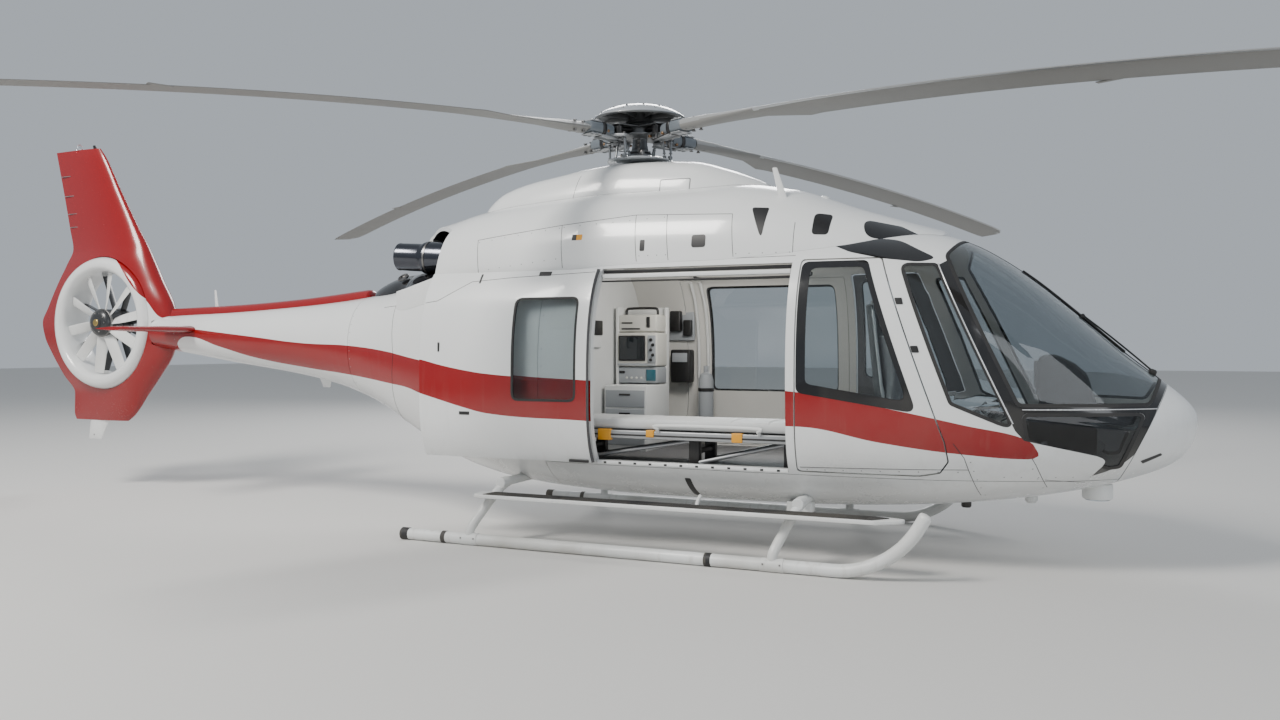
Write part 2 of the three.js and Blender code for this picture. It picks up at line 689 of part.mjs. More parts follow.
function slidingDoor(word, side, windowOutline, dx, dy) {
  const leafEdge = rect({
    x0: DOORWAY.x0 + SEAT_GAP, x1: DOORWAY.x1 - SEAT_GAP,
    z0: DOORWAY.z0 + SEAT_GAP, z1: DOORWAY.z1 - SEAT_GAP,
  });
  let leaf = common(doorShell, sideCut(leafEdge, side));
  leaf = cut(leaf, sideCut(windowOutline, side));
  if (dx) {
    leaf = shifted(leaf, dx, dy, 0);
    const arms = [[-180, 800], [-180, 1930]].map(([x, z]) => (
      box(x - 60, x + 60, side * 800, side * 1030, z - 20, z + 20)
    ));
    const reach = shifted(common(skin(-2), sideCut(leafEdge, side)), dx, dy, 0);
    leaf = join([leaf, ...arms.map((arm) => common(cut(arm, clear), reach))]);
  }
  add(`sliding_door_${word}`, leaf, WHITE);
  pane(`sliding_door_glass_${word}`, windowOutline, side, 400, [dx, dy]);
}
slidingDoor("right", -1, soften(RIGHT_SLIDE_GLASS, 60), SLIDE_BACK, -SLIDE_OUT);
slidingDoor("left", 1, soften(LEFT_SLIDE_GLASS, 60), 0, 0);

for (const [word, side] of [["right", -1], ["left", 1]]) {
  const { low, high } = hingeFrame(side);
  const window = soften(FRONT_DOOR_GLASS, 60);
  let leaf = common(frontDoorShell, sideCut(soften(FRONT_DOOR, 40), side));
  const halves = [low, high].map((at) => hingeMoving(side, at));
  leaf = join([leaf, ...halves.map((h) => h.body)]);
  leaf = cut(leaf, sideCut(window, side), ...halves.map((h) => h.hole));
  add(`front_door_${word}`, leaf, WHITE);
  pane(`front_door_glass_${word}`, window, side, 400);
}

// Landing gear.

for (const word of ["right", "left"]) {
  add(`skid_${word}`, skidTube(word, 0), WHITE);
}
for (const word of ["front", "rear"]) {
  const raw = bar(arches[word], tubeR);
  add(`cross_tube_${word}`, cut(raw, skidTube("right", SEAT_GAP), skidTube("left", SEAT_GAP)),
    WHITE);
}
for (const [word, side] of [["right", -1], ["left", 1]]) {
  const y = (v) => side * v;
  const lo = Math.min(y(990), y(1190));
  const hi = Math.max(y(990), y(1190));
  const bits = [box(-850, 2290, lo, hi, 352, 384)];
  for (const x of [-757, 1545]) {
    bits.push(box(x - 45, x + 45, Math.min(y(900), y(1010)), Math.max(y(900), y(1010)), 330, 384));
  }
  add(`step_${word}`, cut(join(bits),
    tunnel("front"), tunnel("rear"), clear), WHITE);
}

// Cabin equipment.

for (const [word, side] of [["right", -1], ["left", 1]]) {
  const c = side * 440;
  const L = FLOOR_Z + SEAT_GAP;
  const seat = join([
    box(2130, 2560, c - 190, c + 190, L, 760),
    box(2090, 2640, c - 240, c + 240, 760, 900),
    prism([[2030, 880], [2110, 880], [2010, 1760], [1950, 1760]], c - 230, c + 230),
    box(2000, 2120, c - 230, c + 230, 780, 900),
  ]);
  add(`front_seat_${word}`, seat, BLACK);
  add(`front_seat_cushion_${word}`, box(2135, 2640, c - 225, c + 225, 900.3, 1010), GREY);
  add(`front_seat_back_pad_${word}`, prism([[2095.2, 1012], [2190, 1020], [2095, 1790],
    [2007.1, 1790]], c - 215, c + 215), GREY);
}

add("instrument_panel", join([
  prism([[3010, 1150], [3060, 1020], [3400, 980], [3330, 1290], [3110, 1420], [3020, 1400]],
    -330, 330),
  prism([[2800, 620 - 9.7], [3380, 620 - 9.7], [3400, 1000], [3050, 1080], [2960, 960]],
    -140, 140),
]), BLACK);

const rackFront = 30;
add("medical_rack", box(CABIN_REAR_X + 50, rackFront, 60, 560, FLOOR_Z + SEAT_GAP, 1800), GREY);

add("patient_deck", join([
  box(-280, 1640, -830, -310, 800, 860),
  box(-200, -100, -750, -360, FLOOR_Z + SEAT_GAP, 810),
  box(700, 800, -750, -360, FLOOR_Z + SEAT_GAP, 810),
  box(1400, 1500, -750, -360, FLOOR_Z + SEAT_GAP, 810),
]), BLACK);
add("patient_mattress", box(-240, 1600, -805, -335, 860.3, 950), 0xe8e6df);

// Main rotor.

const up = [0, 0, 1];
const headBits = [
  turned([[MAST_R, 2500.5], [MAST_R, 3180]], [0, 0, 0], up, 24),
  turned([[268, 2950], [268, 3010]], [0, 0, 0], up, 24),
  turned([[150, 3120], [230, 3165], [230, 3268]], [0, 0, 0], up, 24),
];
const turnedTo = (angle) => {
  const a = (angle * Math.PI) / 180;
  const c = Math.cos(a);
  const s = Math.sin(a);
  return ([x, y, z]) => [c * x - s * y, s * x + c * y, z];
};
const spin = (rings, angle) => loft(rings.map((ring) => ring.map(turnedTo(angle))));
const block = (x0, x1, y0, y1, z0, z1) => [z0, z1].map((z) => [
  [x0, y0, z], [x1, y0, z], [x1, y1, z], [x0, y1, z],
]);
for (let k = 0; k < BLADE_COUNT; k += 1) {
  const a = ROTOR_AZIMUTH + (360 / BLADE_COUNT) * k;
  headBits.push(spin(block(180, 560, -75, 75, ROTOR_PLANE_Z - 30, ROTOR_PLANE_Z + 28), a));
  headBits.push(spin(block(232, 262, 95, 125, 3000, ROTOR_PLANE_Z - 15), a));
  headBits.push(spin(block(225, 300, 60, 130, ROTOR_PLANE_Z - 30, ROTOR_PLANE_Z + 5), a));
}
add("rotor_head", join(headBits), GREY, { metalness: 0.7 });
const cap = turned([[250, 3268.3], [362, 3284], [370, 3306], [330, 3332],
  [200, 3388], [40, 3410]], [0, 0, 0], up, 24);
add("hub_cap", cap, GREY, { metalness: 0.4 });

// Blade stations: radius, leading edge Y, trailing edge Y, half thickness.
const BLADE = [
  [560.3, -80, 80, 44],
  [760, -82, 84, 40],
  [1000, -78, 92, 28],
  [1300, -84, 112, 21],
  [1600, -88, 240, 17],
  [1700, -90, 225, 15],
  [2700, -90, 225, 14],
  [3900, -90, 225, 12],
  [5100, -90, 225, 10],
  [5260, -78, 223, 8],
  [ROTOR_RADIUS, -20, 212, 5],
];
const pitch = (BLADE_PITCH * Math.PI) / 180;
for (let k = 0; k < BLADE_COUNT; k += 1) {
  const rings = BLADE.map(([r, lead, tail, half]) => {
    const z = ROTOR_PLANE_Z - BLADE_DROOP * (r / ROTOR_RADIUS) ** 2;
    return foil(lead, tail, half).map(([y, h]) => [
      r,
      y * Math.cos(pitch) + h * Math.sin(pitch),
      z + h * Math.cos(pitch) - y * Math.sin(pitch),
    ]);
  });
  add(`main_blade_${k + 1}`, spin(rings, ROTOR_AZIMUTH + (360 / BLADE_COUNT) * k), 0x9c9f9e);
}

const helicopter = new THREE.Group();
helicopter.name = "helicopter";
helicopter.position.x = MAST_X;
for (const node of parts) {
  helicopter.add(node);
}

export default helicopter;
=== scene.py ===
# %% [markdown]
# A rescue helicopter, dressed for its portrait
#
# The solids of the aircraft arrive as a fixed frame: exact in place and size, but faceted and
# bare. This lesson builds the fine surface over them, piece by piece: painted skin, glass,
# doors, cabin, rotor head and blades. Nothing is moved. Every new piece is drawn in the same
# metres as the frame and rides on the body that carries it, so doors and rotors still turn.

# %% Load the frame
import json
import math

import bmesh
import bpy
import numpy as np
from mathutils import Matrix, Vector

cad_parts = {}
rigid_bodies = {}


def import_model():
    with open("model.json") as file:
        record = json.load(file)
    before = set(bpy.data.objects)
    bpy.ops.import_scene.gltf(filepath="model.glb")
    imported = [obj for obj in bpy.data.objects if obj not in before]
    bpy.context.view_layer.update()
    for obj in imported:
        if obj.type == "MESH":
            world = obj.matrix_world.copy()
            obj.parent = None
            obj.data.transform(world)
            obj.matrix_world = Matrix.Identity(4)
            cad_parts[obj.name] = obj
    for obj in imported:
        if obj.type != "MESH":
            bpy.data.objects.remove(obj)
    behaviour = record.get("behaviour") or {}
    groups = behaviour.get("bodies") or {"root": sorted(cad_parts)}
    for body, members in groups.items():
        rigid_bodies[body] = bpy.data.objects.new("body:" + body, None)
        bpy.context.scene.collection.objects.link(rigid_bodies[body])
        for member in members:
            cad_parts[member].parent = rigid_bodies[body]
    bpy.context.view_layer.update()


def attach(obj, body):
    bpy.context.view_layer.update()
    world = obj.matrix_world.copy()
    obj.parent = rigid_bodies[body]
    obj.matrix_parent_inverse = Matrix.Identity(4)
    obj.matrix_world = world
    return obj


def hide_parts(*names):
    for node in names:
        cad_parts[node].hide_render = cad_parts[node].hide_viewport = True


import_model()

MAST = 1.0495       # the rotor mast's X in the frame; stations below count from the mast
GAP = 0.002         # half of a panel seam
WALL = 0.045        # thickness of the cabin wall
FLOOR_Z = 0.61      # top of the cabin floor
SEAT_Y = 0.44       # middle line of the left front seat
# the two sides with their sign along Y, and directions that many parts share
SIDES = (("right", -1), ("left", 1))
UP, ACROSS, ORIGIN = (0, 0, 1), (0, 1, 0), (0, 0, 0)

# %% [markdown]
# The camera comes first, because every later choice is judged through it. The photograph was
# taken from the right side, a little ahead of the doorway, about 1.5 m above the ground.
# The focal length and the angle were worked out from the skids and the horizon.

# %% Camera
PHOTO_WIDE = 1280         # pixels
PHOTO_FOCAL = 1050.0      # pixels
PHOTO_TURN = 23.717       # degrees, nose swung towards the camera
HORIZON_UP = 15.0         # pixels above the middle of the picture
SENSOR = 36.0             # millimetres
CAMERA_AT = (3.414 + MAST, -7.77, 1.48)

lens = bpy.data.cameras.new("photo_camera")
camera = bpy.data.objects.new("photo_camera", lens)
bpy.context.collection.objects.link(camera)
lens.sensor_fit = "HORIZONTAL"
lens.sensor_width = SENSOR
lens.lens = SENSOR * PHOTO_FOCAL / PHOTO_WIDE
lens.shift_y = -HORIZON_UP / PHOTO_WIDE
lens.clip_end = 200.0
camera.location = CAMERA_AT
camera.rotation_euler = (math.radians(90), 0.0, math.radians(PHOTO_TURN))
bpy.context.scene.camera = camera
print("camera lens %.2f mm" % lens.lens)

# %% [markdown]
# The skin is one long hull from nose to boom. Each row of the table is a rib: where it stands,
# how wide it is, the height of its widest line, its top and bottom, and how square the upper
# and lower halves are. A rib is a superellipse: roundness 2 is an ellipse, 3 is a soft box.
# Between the rows a monotone curve runs through the values, so the hull swells but never
# ripples, which a plain cubic would do.

# %% Rib tables
SKIN = np.array([
    # x, half width, widest z, top z, bottom z, upper roundness, lower roundness
    (-5.275, .19, 1.61, 1.76, 1.45, 2.0, 2.0), (-5.1, .2, 1.6, 1.775, 1.43, 2.0, 2.0),
    (-4.24, .25, 1.56, 1.805, 1.31, 2.0, 2.0), (-3.5, .3, 1.52, 1.845, 1.215, 2.0, 2.0),
    (-3.0, .345, 1.49, 1.88, 1.125, 2.1, 2.1), (-2.6, .42, 1.46, 1.92, 1.01, 2.2, 2.2),
    (-2.3, .5, 1.43, 1.965, .89, 2.3, 2.3), (-2.0, .595, 1.4, 2.02, .73, 2.5, 2.4),
    (-1.65, .715, 1.345, 2.09, .575, 2.6, 2.5), (-1.3, .82, 1.29, 2.15, .455, 2.8, 2.6),
    (-.9, .905, 1.235, 2.2, .385, 2.9, 2.8), (-.4, .97, 1.18, 2.25, .345, 3.0, 2.9),
    (.2, 1.0, 1.15, 2.28, .325, 3.0, 3.0), (1.0, 1.0, 1.15, 2.295, .322, 3.0, 3.0),
    (1.5, 1.0, 1.145, 2.3, .328, 3.0, 3.0), (1.9, 1.0, 1.14, 2.3, .342, 2.9, 2.9),
    (2.2, .995, 1.13, 2.285, .36, 2.75, 2.8), (2.4, .98, 1.115, 2.255, .375, 2.6, 2.7),
    (2.6, .95, 1.095, 2.185, .395, 2.5, 2.6), (2.8, .905, 1.07, 2.07, .42, 2.4, 2.5),
    (3.0, .85, 1.045, 1.925, .45, 2.3, 2.4), (3.2, .77, 1.015, 1.755, .488, 2.2, 2.3),
    (3.4, .67, .985, 1.575, .535, 2.1, 2.2), (3.55, .575, .965, 1.44, .578, 2.0, 2.1),
    (3.7, .46, .955, 1.315, .63, 2.0, 2.0), (3.8, .37, .955, 1.232, .675, 2.0, 2.0),
    (3.9, .255, .96, 1.145, .745, 2.0, 2.0), (3.955, .16, .968, 1.085, .825, 2.0, 2.0),
    (3.985, .07, .975, 1.03, .905, 2.0, 2.0), (3.995, .012, .972, .985, .958, 2.0, 2.0),
])
COWL = np.array([
    (-2.04, .505, 1.79, 2.43, 1.53, 2.6, 2.6), (-1.9, .56, 1.8, 2.48, 1.54, 2.6, 2.6),
    (-1.65, .625, 1.83, 2.525, 1.57, 2.6, 2.6), (-1.3, .7, 1.88, 2.6, 1.62, 2.6, 2.6),
    (-.85, .75, 1.93, 2.665, 1.67, 2.6, 2.6), (.0, .775, 1.96, 2.705, 1.7, 2.7, 2.7),
    (.9, .775, 1.97, 2.7, 1.71, 2.7, 2.7), (1.32, .755, 1.98, 2.64, 1.72, 2.6, 2.6),
    (1.85, .69, 2.0, 2.46, 1.74, 2.4, 2.4), (2.2, .57, 2.03, 2.35, 1.77, 2.2, 2.2),
    (2.42, .42, 2.06, 2.285, 1.8, 2.1, 2.1),
])
FAIRING = np.array([
    (-1.33, .25, 2.43, 2.61, 2.37, 2.6, 2.6), (-1.24, .33, 2.43, 2.69, 2.37, 2.8, 2.8),
    (-1.1, .375, 2.43, 2.77, 2.37, 3.0, 3.0), (-.73, .415, 2.43, 2.85, 2.37, 3.2, 3.2),
    (.0, .43, 2.43, 2.93, 2.37, 3.2, 3.2), (.52, .42, 2.43, 2.905, 2.37, 3.2, 3.2),
    (.81, .39, 2.43, 2.825, 2.37, 3.0, 3.0), (1.0, .33, 2.43, 2.75, 2.37, 2.8, 2.8),
    (1.11, .25, 2.43, 2.7, 2.37, 2.6, 2.6),
])
SHIELD = np.array([
    (-2.63, .11, 1.67, 1.93, 1.63, 2.6, 2.6), (-2.48, .19, 1.75, 2.01, 1.71, 2.6, 2.6),
    (-2.28, .26, 1.815, 2.075, 1.775, 2.6, 2.6), (-2.08, .32, 1.845, 2.105, 1.805, 2.6, 2.6),
    (-1.9, .48, 1.855, 2.115, 1.815, 2.6, 2.6), (-1.6, .54, 1.86, 2.12, 1.82, 2.6, 2.6),
])


def monotone(xs, ys):
    """A curve through the points that keeps rising where they rise and never overshoots."""
    h = np.diff(xs)
    d = np.diff(ys) / h
    m = np.zeros(len(xs))
    for i in range(1, len(xs) - 1):
        if d[i - 1] * d[i] > 0:
            w1, w2 = 2 * h[i] + h[i - 1], h[i] + 2 * h[i - 1]
            m[i] = (w1 + w2) / (w1 / d[i - 1] + w2 / d[i])
    m[0], m[-1] = d[0], d[-1]

    def curve(x):
        x = np.clip(x, xs[0], xs[-1])
        i = np.clip(np.searchsorted(xs, x) - 1, 0, len(h) - 1)
        t = (x - xs[i]) / h[i]
        a, b = (1 + 2 * t) * (1 - t) ** 2, t * (1 - t) ** 2
        c, e = t * t * (3 - 2 * t), t * t * (t - 1)
        return a * ys[i] + b * h[i] * m[i] + c * ys[i + 1] + e * h[i] * m[i + 1]
    return curve


class Hull:
    """A lofted form. ring() gives one rib, normal() the direction straight out of the skin."""

    def __init__(self, rows):
        self.at = [monotone(rows[:, 0], rows[:, k]) for k in range(1, 7)]

    def ring(self, x, grow, count):
        w, zw, zt, zb, nu, nl = (f(x) for f in self.at)
        t = np.arange(count) * 2 * math.pi / count
        c, s = np.cos(t), np.sin(t)
        n = np.where(s >= 0, nu, nl)
        h = np.where(s >= 0, zt - zw + grow, zw - zb + grow)
        y = max(w + grow, .003) * np.sign(c) * np.abs(c) ** (2 / n)
        z = zw + np.maximum(h, .003) * np.sign(s) * np.abs(s) ** (2 / n)
        return np.column_stack([np.full(count, x), y, z])

    def field(self, p):
        w, zw, zt, zb, nu, nl = (f(p[:, 0]) for f in self.at)
        up = p[:, 2] >= zw
        n = np.where(up, nu, nl)
        h = np.where(up, zt - zw, zw - zb)
        return (np.abs(p[:, 1]) / w) ** n + (np.abs(p[:, 2] - zw) / h) ** n

    def normal(self, p):
        g = np.zeros_like(p)
        for k in range(3):
            e = np.zeros(3)
            e[k] = 3e-4
            g[:, k] = self.field(p + e) - self.field(p - e)
        return g / np.maximum(np.linalg.norm(g, axis=1, keepdims=True), 1e-9)

    def side(self, x, z, grow=0.0):
        """Half width of the skin at a station and height."""
        w, zw, zt, zb, nu, nl = (float(f(x)) for f in self.at)
        up = z >= zw
        n, h = (nu, zt - zw + grow) if up else (nl, zw - zb + grow)
        r = max(1 - (abs(z - zw) / h) ** n, 0.0)
        return (w + grow) * r ** (1 / n)

    def top(self, x, y, grow=0.0):
        """Height of the skin over a point of the plan."""
        w, zw, zt, zb, nu, nl = (float(f(x)) for f in self.at)
        r = max(1 - (abs(y) / (w + grow)) ** nu, 0.0)
        return zw + (zt - zw + grow) * r ** (1 / nu)


skin, cowl, fairing, shield_form = Hull(SKIN), Hull(COWL), Hull(FAIRING), Hull(SHIELD)
print("half width at the doorway %.3f m" % skin.side(.8, 1.2))

# %% [markdown]
# A small kit of mesh tools. Meshes are written at stations that count from the mast and moved
# forward once, as vertices, so that every object stays at the origin. Booleans cut the doors
# and windows. A cut leaves slivers that shade badly, so the hull's own formula then hands each
# corner its true normal, and the paint reflects as if the skin were perfectly smooth.

# %% Mesh tools
def make(name, verts, faces):
    verts = np.array(verts, dtype=float) + np.array([MAST, 0, 0])
    mesh = bpy.data.meshes.new(name)
    mesh.from_pydata([tuple(v) for v in verts], [], [tuple(int(i) for i in f) for f in faces])
    mesh.validate()
    obj = bpy.data.objects.new(name, mesh)
    bpy.context.collection.objects.link(obj)
    face_out(obj)
    return obj


def face_out(obj):
    bm = bmesh.new()
    bm.from_mesh(obj.data)
    bmesh.ops.recalc_face_normals(bm, faces=bm.faces)
    bm.to_mesh(obj.data)
    bm.free()


def rings_to_mesh(rings):
    n = len(rings[0])
    verts = [tuple(v) for r in rings for v in r]
    faces = []
    for i in range(len(rings) - 1):
        for j in range(n):
            k = (j + 1) % n
            faces.append((i * n + j, i * n + k, (i + 1) * n + k, (i + 1) * n + j))
    for start, ring in ((0, rings[0]), ((len(rings) - 1) * n, rings[-1])):
        centre = len(verts)
        verts.append(tuple(np.mean(ring, axis=0)))
        faces += [(centre, start + j, start + (j + 1) % n) for j in range(n)]
    return verts, faces


# %% Lofts
RING_STEP = .04      # between the rings of a loft
NOSE_TIP = 3.995     # station of the nose's tip


def stations(x0, x1):
    """Where the rings of a loft stand. The nose is blunt, so there they draw closer to its tip."""
    count = max(int(round(abs(x1 - x0) / RING_STEP)), 1)
    xs = list(np.linspace(x0, x1, count + 1))
    if x1 > 3.9:
        xs = [x for x in xs if x < 3.8] + list(NOSE_TIP - .2 * (1 - np.linspace(0, 1, 26)) ** 1.8)
    return xs


def loft(name, form, x0, x1, grow=0.0, count=112, soft_start=0.0, soft_end=0.0):
    """A closed length of a hull. A soft end rounds its edge over by that radius."""
    xs = stations(x0, x1)
    for soft, end, way in ((soft_start, x0, 1), (soft_end, x1, -1)):
        if soft:
            arc = [end + way * soft * (1 - math.cos(a)) for a in np.linspace(0, math.pi / 2, 9)]
            xs = [x for x in xs if abs(x - end) > soft] + arc
    rings = []
    for x in sorted(xs):
        d = grow
        for soft, end in ((soft_start, x0), (soft_end, x1)):
            s = abs(x - end)
            if soft and s < soft:
                d -= soft - math.sqrt(max(soft ** 2 - (soft - s) ** 2, 0))
        rings.append(form.ring(x, d, count))
    return make(name, *rings_to_mesh(rings))


# %% Plates and blocks
def push(name, outline, near, far, place):
    """A flat outline pushed from near to far. place() makes a point of an outline point and a depth."""
    n = len(outline)
    faces = [tuple(range(n)), tuple(range(2 * n - 1, n - 1, -1))]
    faces += [(j, (j + 1) % n, n + (j + 1) % n, n + j) for j in range(n)]
    return make(name, [place(*p, d) for d in (near, far) for p in outline], faces)


def prism(name, outline, y0, y1):
    """A flat outline, drawn as X, Z seen from the side, pushed across the aircraft."""
    return push(name, outline, y0, y1, lambda x, z, y: (x, y, z))


def plan_prism(name, outline, z0, z1):
    """A flat outline, drawn as X, Y seen from above, pushed upwards."""
    return push(name, outline, z0, z1, lambda x, y, z: (x, y, z))


def block(name, x0, x1, y0, y1, z0, z1):
    return prism(name, [(x0, z0), (x1, z0), (x1, z1), (x0, z1)], y0, y1)


# %% Booleans and rounded edges
def bake(obj):
    """Turns what the modifiers make into the piece's own mesh."""
    graph = bpy.context.evaluated_depsgraph_get()
    mesh = bpy.data.meshes.new_from_object(obj.evaluated_get(graph))
    obj.modifiers.clear()
    old, obj.data = obj.data, mesh
    bpy.data.meshes.remove(old)
    return obj


def combine(target, tools, how="DIFFERENCE"):
    for tool in tools:
        step = target.modifiers.new("step", "BOOLEAN")
        step.operation, step.object, step.solver = how, tool, "MANIFOLD"
    bake(target)
    for tool in tools:
        drop(tool)
    return target


def chamfer(obj, width, steps=3):
    """Rounds the sharp edges, so that each of them catches a line of light."""
    edge = obj.modifiers.new("edge", "BEVEL")
    edge.width, edge.segments, edge.limit_method = width, steps, "ANGLE"
    edge.angle_limit = math.radians(30)
    return bake(obj)


def brick(x0, x1, y0, y1, z0, z1, edge=.004):
    """A block with rounded edges, smooth shaded."""
    return shade(chamfer(block("brick", x0, x1, y0, y1, z0, z1), edge))


def bricks(rows):
    """Rounded blocks from rows of six bounds, the edge radius and the index of the material."""
    return [(brick(*row), index) for *row, index in rows]


# %% Joining, copying and turning
def join(name, objs):
    """One object from several. Every face keeps the index of its material."""
    bm = bmesh.new()
    for obj in objs:
        bm.from_mesh(obj.data)
        drop(obj)
    mesh = bpy.data.meshes.new(name)
    bm.to_mesh(mesh)
    bm.free()
    obj = bpy.data.objects.new(name, mesh)
    bpy.context.collection.objects.link(obj)
    return obj


def merge(name, parts):
    """Joins loose parts into one object. A part may come with the index of its material."""
    objs = []
    for part in parts:
        obj, index = part if isinstance(part, tuple) else (part, 0)
        count = len(obj.data.polygons)
        obj.data.polygons.foreach_set("material_index", np.full(count, index, dtype=np.int32))
        objs.append(obj)
    return join(name, objs)


def copy_of(obj, matrix):
    """A copy of a part, its vertices moved by a matrix."""
    made = bpy.data.objects.new(obj.name, obj.data.copy())
    bpy.context.collection.objects.link(made)
    made.data.transform(matrix)
    return made


def about(centre, axis, degrees):
    """Turning about a line through a point, given in stations from the mast."""
    move = Matrix.Translation((centre[0] + MAST, centre[1], centre[2]))
    return move @ Matrix.Rotation(math.radians(degrees), 4, axis) @ move.inverted()


def smooth_path(points, steps=6):
    """A soft curve through the points of a bent tube."""
    p = [Vector(q) for q in points]
    p = [p[0] * 2 - p[1]] + p + [p[-1] * 2 - p[-2]]
    out = []
    for a, b, c, d in zip(p, p[1:], p[2:], p[3:]):
        for t in np.linspace(0, 1, steps, endpoint=False):
            out.append(.5 * (2 * b + (c - a) * t + (2 * a - 5 * b + 4 * c - d) * t * t
                + (3 * b - a - 3 * c + d) * t ** 3))
    return out + [p[-2]]


def drop(obj):
    mesh = obj.data
    bpy.data.objects.remove(obj)
    bpy.data.meshes.remove(mesh)


# %% Outlines
def soften(outline, radius):
    """Rounds each corner of an outline by its own share of the radius."""
    n, out = len(outline), []
    for i, p in enumerate(outline):
        p = np.array(p, float)
        a, b = np.array(outline[i - 1], float) - p, np.array(outline[(i + 1) % n], float) - p
        la, lb = np.linalg.norm(a), np.linalg.norm(b)
        ua, ub = a / la, b / lb
        half = math.acos(np.clip(ua @ ub, -1, 1)) / 2
        d = min(radius / math.tan(half), la * .45, lb * .45)
        for s in np.linspace(0, 1, 7):
            out.append(tuple(p + ua * d * (1 - s) ** 2 + ub * d * s ** 2))
    return out


def inset(outline, d):
    """Moves each edge of a convex outline inwards."""
    pts = [np.array(p, float) for p in outline]
    n = len(pts)
    area = sum(pts[i][0] * pts[(i + 1) % n][1] - pts[(i + 1) % n][0] * pts[i][1] for i in range(n))
    s = 1 if area > 0 else -1
    lines = []
    for i in range(n):
        e = pts[(i + 1) % n] - pts[i]
        e = e / np.linalg.norm(e)
        nx, nz = -e[1] * s, e[0] * s
        lines.append((nx, nz, nx * pts[i][0] + nz * pts[i][1] + d))
    out = []
    for i in range(n):
        a, b = lines[i - 1], lines[i]
        det = a[0] * b[1] - a[1] * b[0]
        out.append(((a[2] * b[1] - a[1] * b[2]) / det, (a[0] * b[2] - a[2] * b[0]) / det))
    return out


# %% [markdown]
# The last tools shade a mesh, give it its materials, and tie it to the body that carries it.
# Nodes of the frame that a piece stands for are named at that moment.

# %% Shading and finishing
def shade(obj, form=None, angle=35.0):
    """Smooth shading. With a hull, corners that lie along it take the hull's own normal."""
    mesh = obj.data
    mesh.polygons.foreach_set("use_smooth", [True] * len(mesh.polygons))
    bm = bmesh.new()
    bm.from_mesh(mesh)
    for e in bm.edges:
        e.smooth = len(e.link_faces) == 2 and e.calc_face_angle(0) < math.radians(angle)
    bm.to_mesh(mesh)
    bm.free()
    if form is None:
        return obj
    count = len(mesh.loops)
    vert = np.zeros(count, dtype=int)
    mesh.loops.foreach_get("vertex_index", vert)
    co = np.zeros(len(mesh.vertices) * 3)
    mesh.vertices.foreach_get("co", co)
    co = co.reshape(-1, 3) - np.array([MAST, 0, 0])
    out = form.normal(co)[vert]
    corner = np.zeros(count * 3)
    mesh.corner_normals.foreach_get("vector", corner)
    corner = corner.reshape(-1, 3)
    flat = np.zeros((count, 3))
    for poly in mesh.polygons:
        flat[poly.loop_start:poly.loop_start + poly.loop_total] = poly.normal
    along = np.einsum("ij,ij->i", flat, out)
    good = np.where(along[:, None] > .8, out, np.where(along[:, None] < -.8, -out, corner))
    mesh.normals_split_custom_set([tuple(v) for v in good])
    return obj


def finish_piece(obj, material, *nodes, body="airframe"):
    """Gives the piece its materials, keeps which face wears which, and ties it to its body. Nodes
    of the frame that are named here are replaced by the piece."""
    materials = material if isinstance(material, (list, tuple)) else [material]
    count = len(obj.data.polygons)
    worn = np.zeros(count, dtype=np.int32)
    obj.data.polygons.foreach_get("material_index", worn)
    obj.data.materials.clear()
    for m in materials:
        obj.data.materials.append(m)
    obj.data.polygons.foreach_set("material_index", np.minimum(worn, len(materials) - 1))
    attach(obj, body)
    if nodes:
        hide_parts(*nodes)
    return obj


def piece(name, parts, looks, *nodes, **more):
    """Joins parts and finishes them as one piece."""
    return finish_piece(merge(name, parts), looks, *nodes, **more)


def inner_faces(obj, form, index):
    """Faces that look into the cabin get one material, the cut edges of openings the next."""
    mesh = obj.data
    mid = np.array([p.center for p in mesh.polygons]) - np.array([MAST, 0, 0])
    nor = np.array([p.normal for p in mesh.polygons])
    out = form.normal(mid)
    along = np.einsum("ij,ij->i", nor, out)
    for i in np.nonzero(along < .6)[0]:
        mesh.polygons[int(i)].material_index = index if along[i] < -.5 else index + 1


# %% [markdown]
# Finishes. The paint is a glossy coat over colour. Real paint is never even: it gathers a film
# of dust low down and faint streaks. Those come from one shared node group, placed in each
# material with its own strength, and it feeds only colour, roughness and height.

# %% Shared node groups
def new_group(name, inputs, outputs):
    group = bpy.data.node_groups.new(name, "ShaderNodeTree")
    for label, kind, value in inputs:
        socket = group.interface.new_socket(label, in_out="INPUT", socket_type=kind)
        socket.default_value = value
    for label, kind in outputs:
        group.interface.new_socket(label, in_out="OUTPUT", socket_type=kind)
    start = group.nodes.new("NodeGroupInput")
    end = group.nodes.new("NodeGroupOutput")
    return group, start, end


def node(tree, kind, values=None, **props):
    made = tree.nodes.new(kind)
    for key, value in props.items():
        setattr(made, key, value)
    for key, value in (values or {}).items():
        if isinstance(value, bpy.types.NodeSocket):
            tree.links.new(value, made.inputs[key])
        else:
            made.inputs[key].default_value = value
    return made


def maths(tree, how, *values, clamp=False):
    """The result of one math node."""
    return node(tree, "ShaderNodeMath", dict(enumerate(values)), operation=how, use_clamp=clamp).outputs[0]


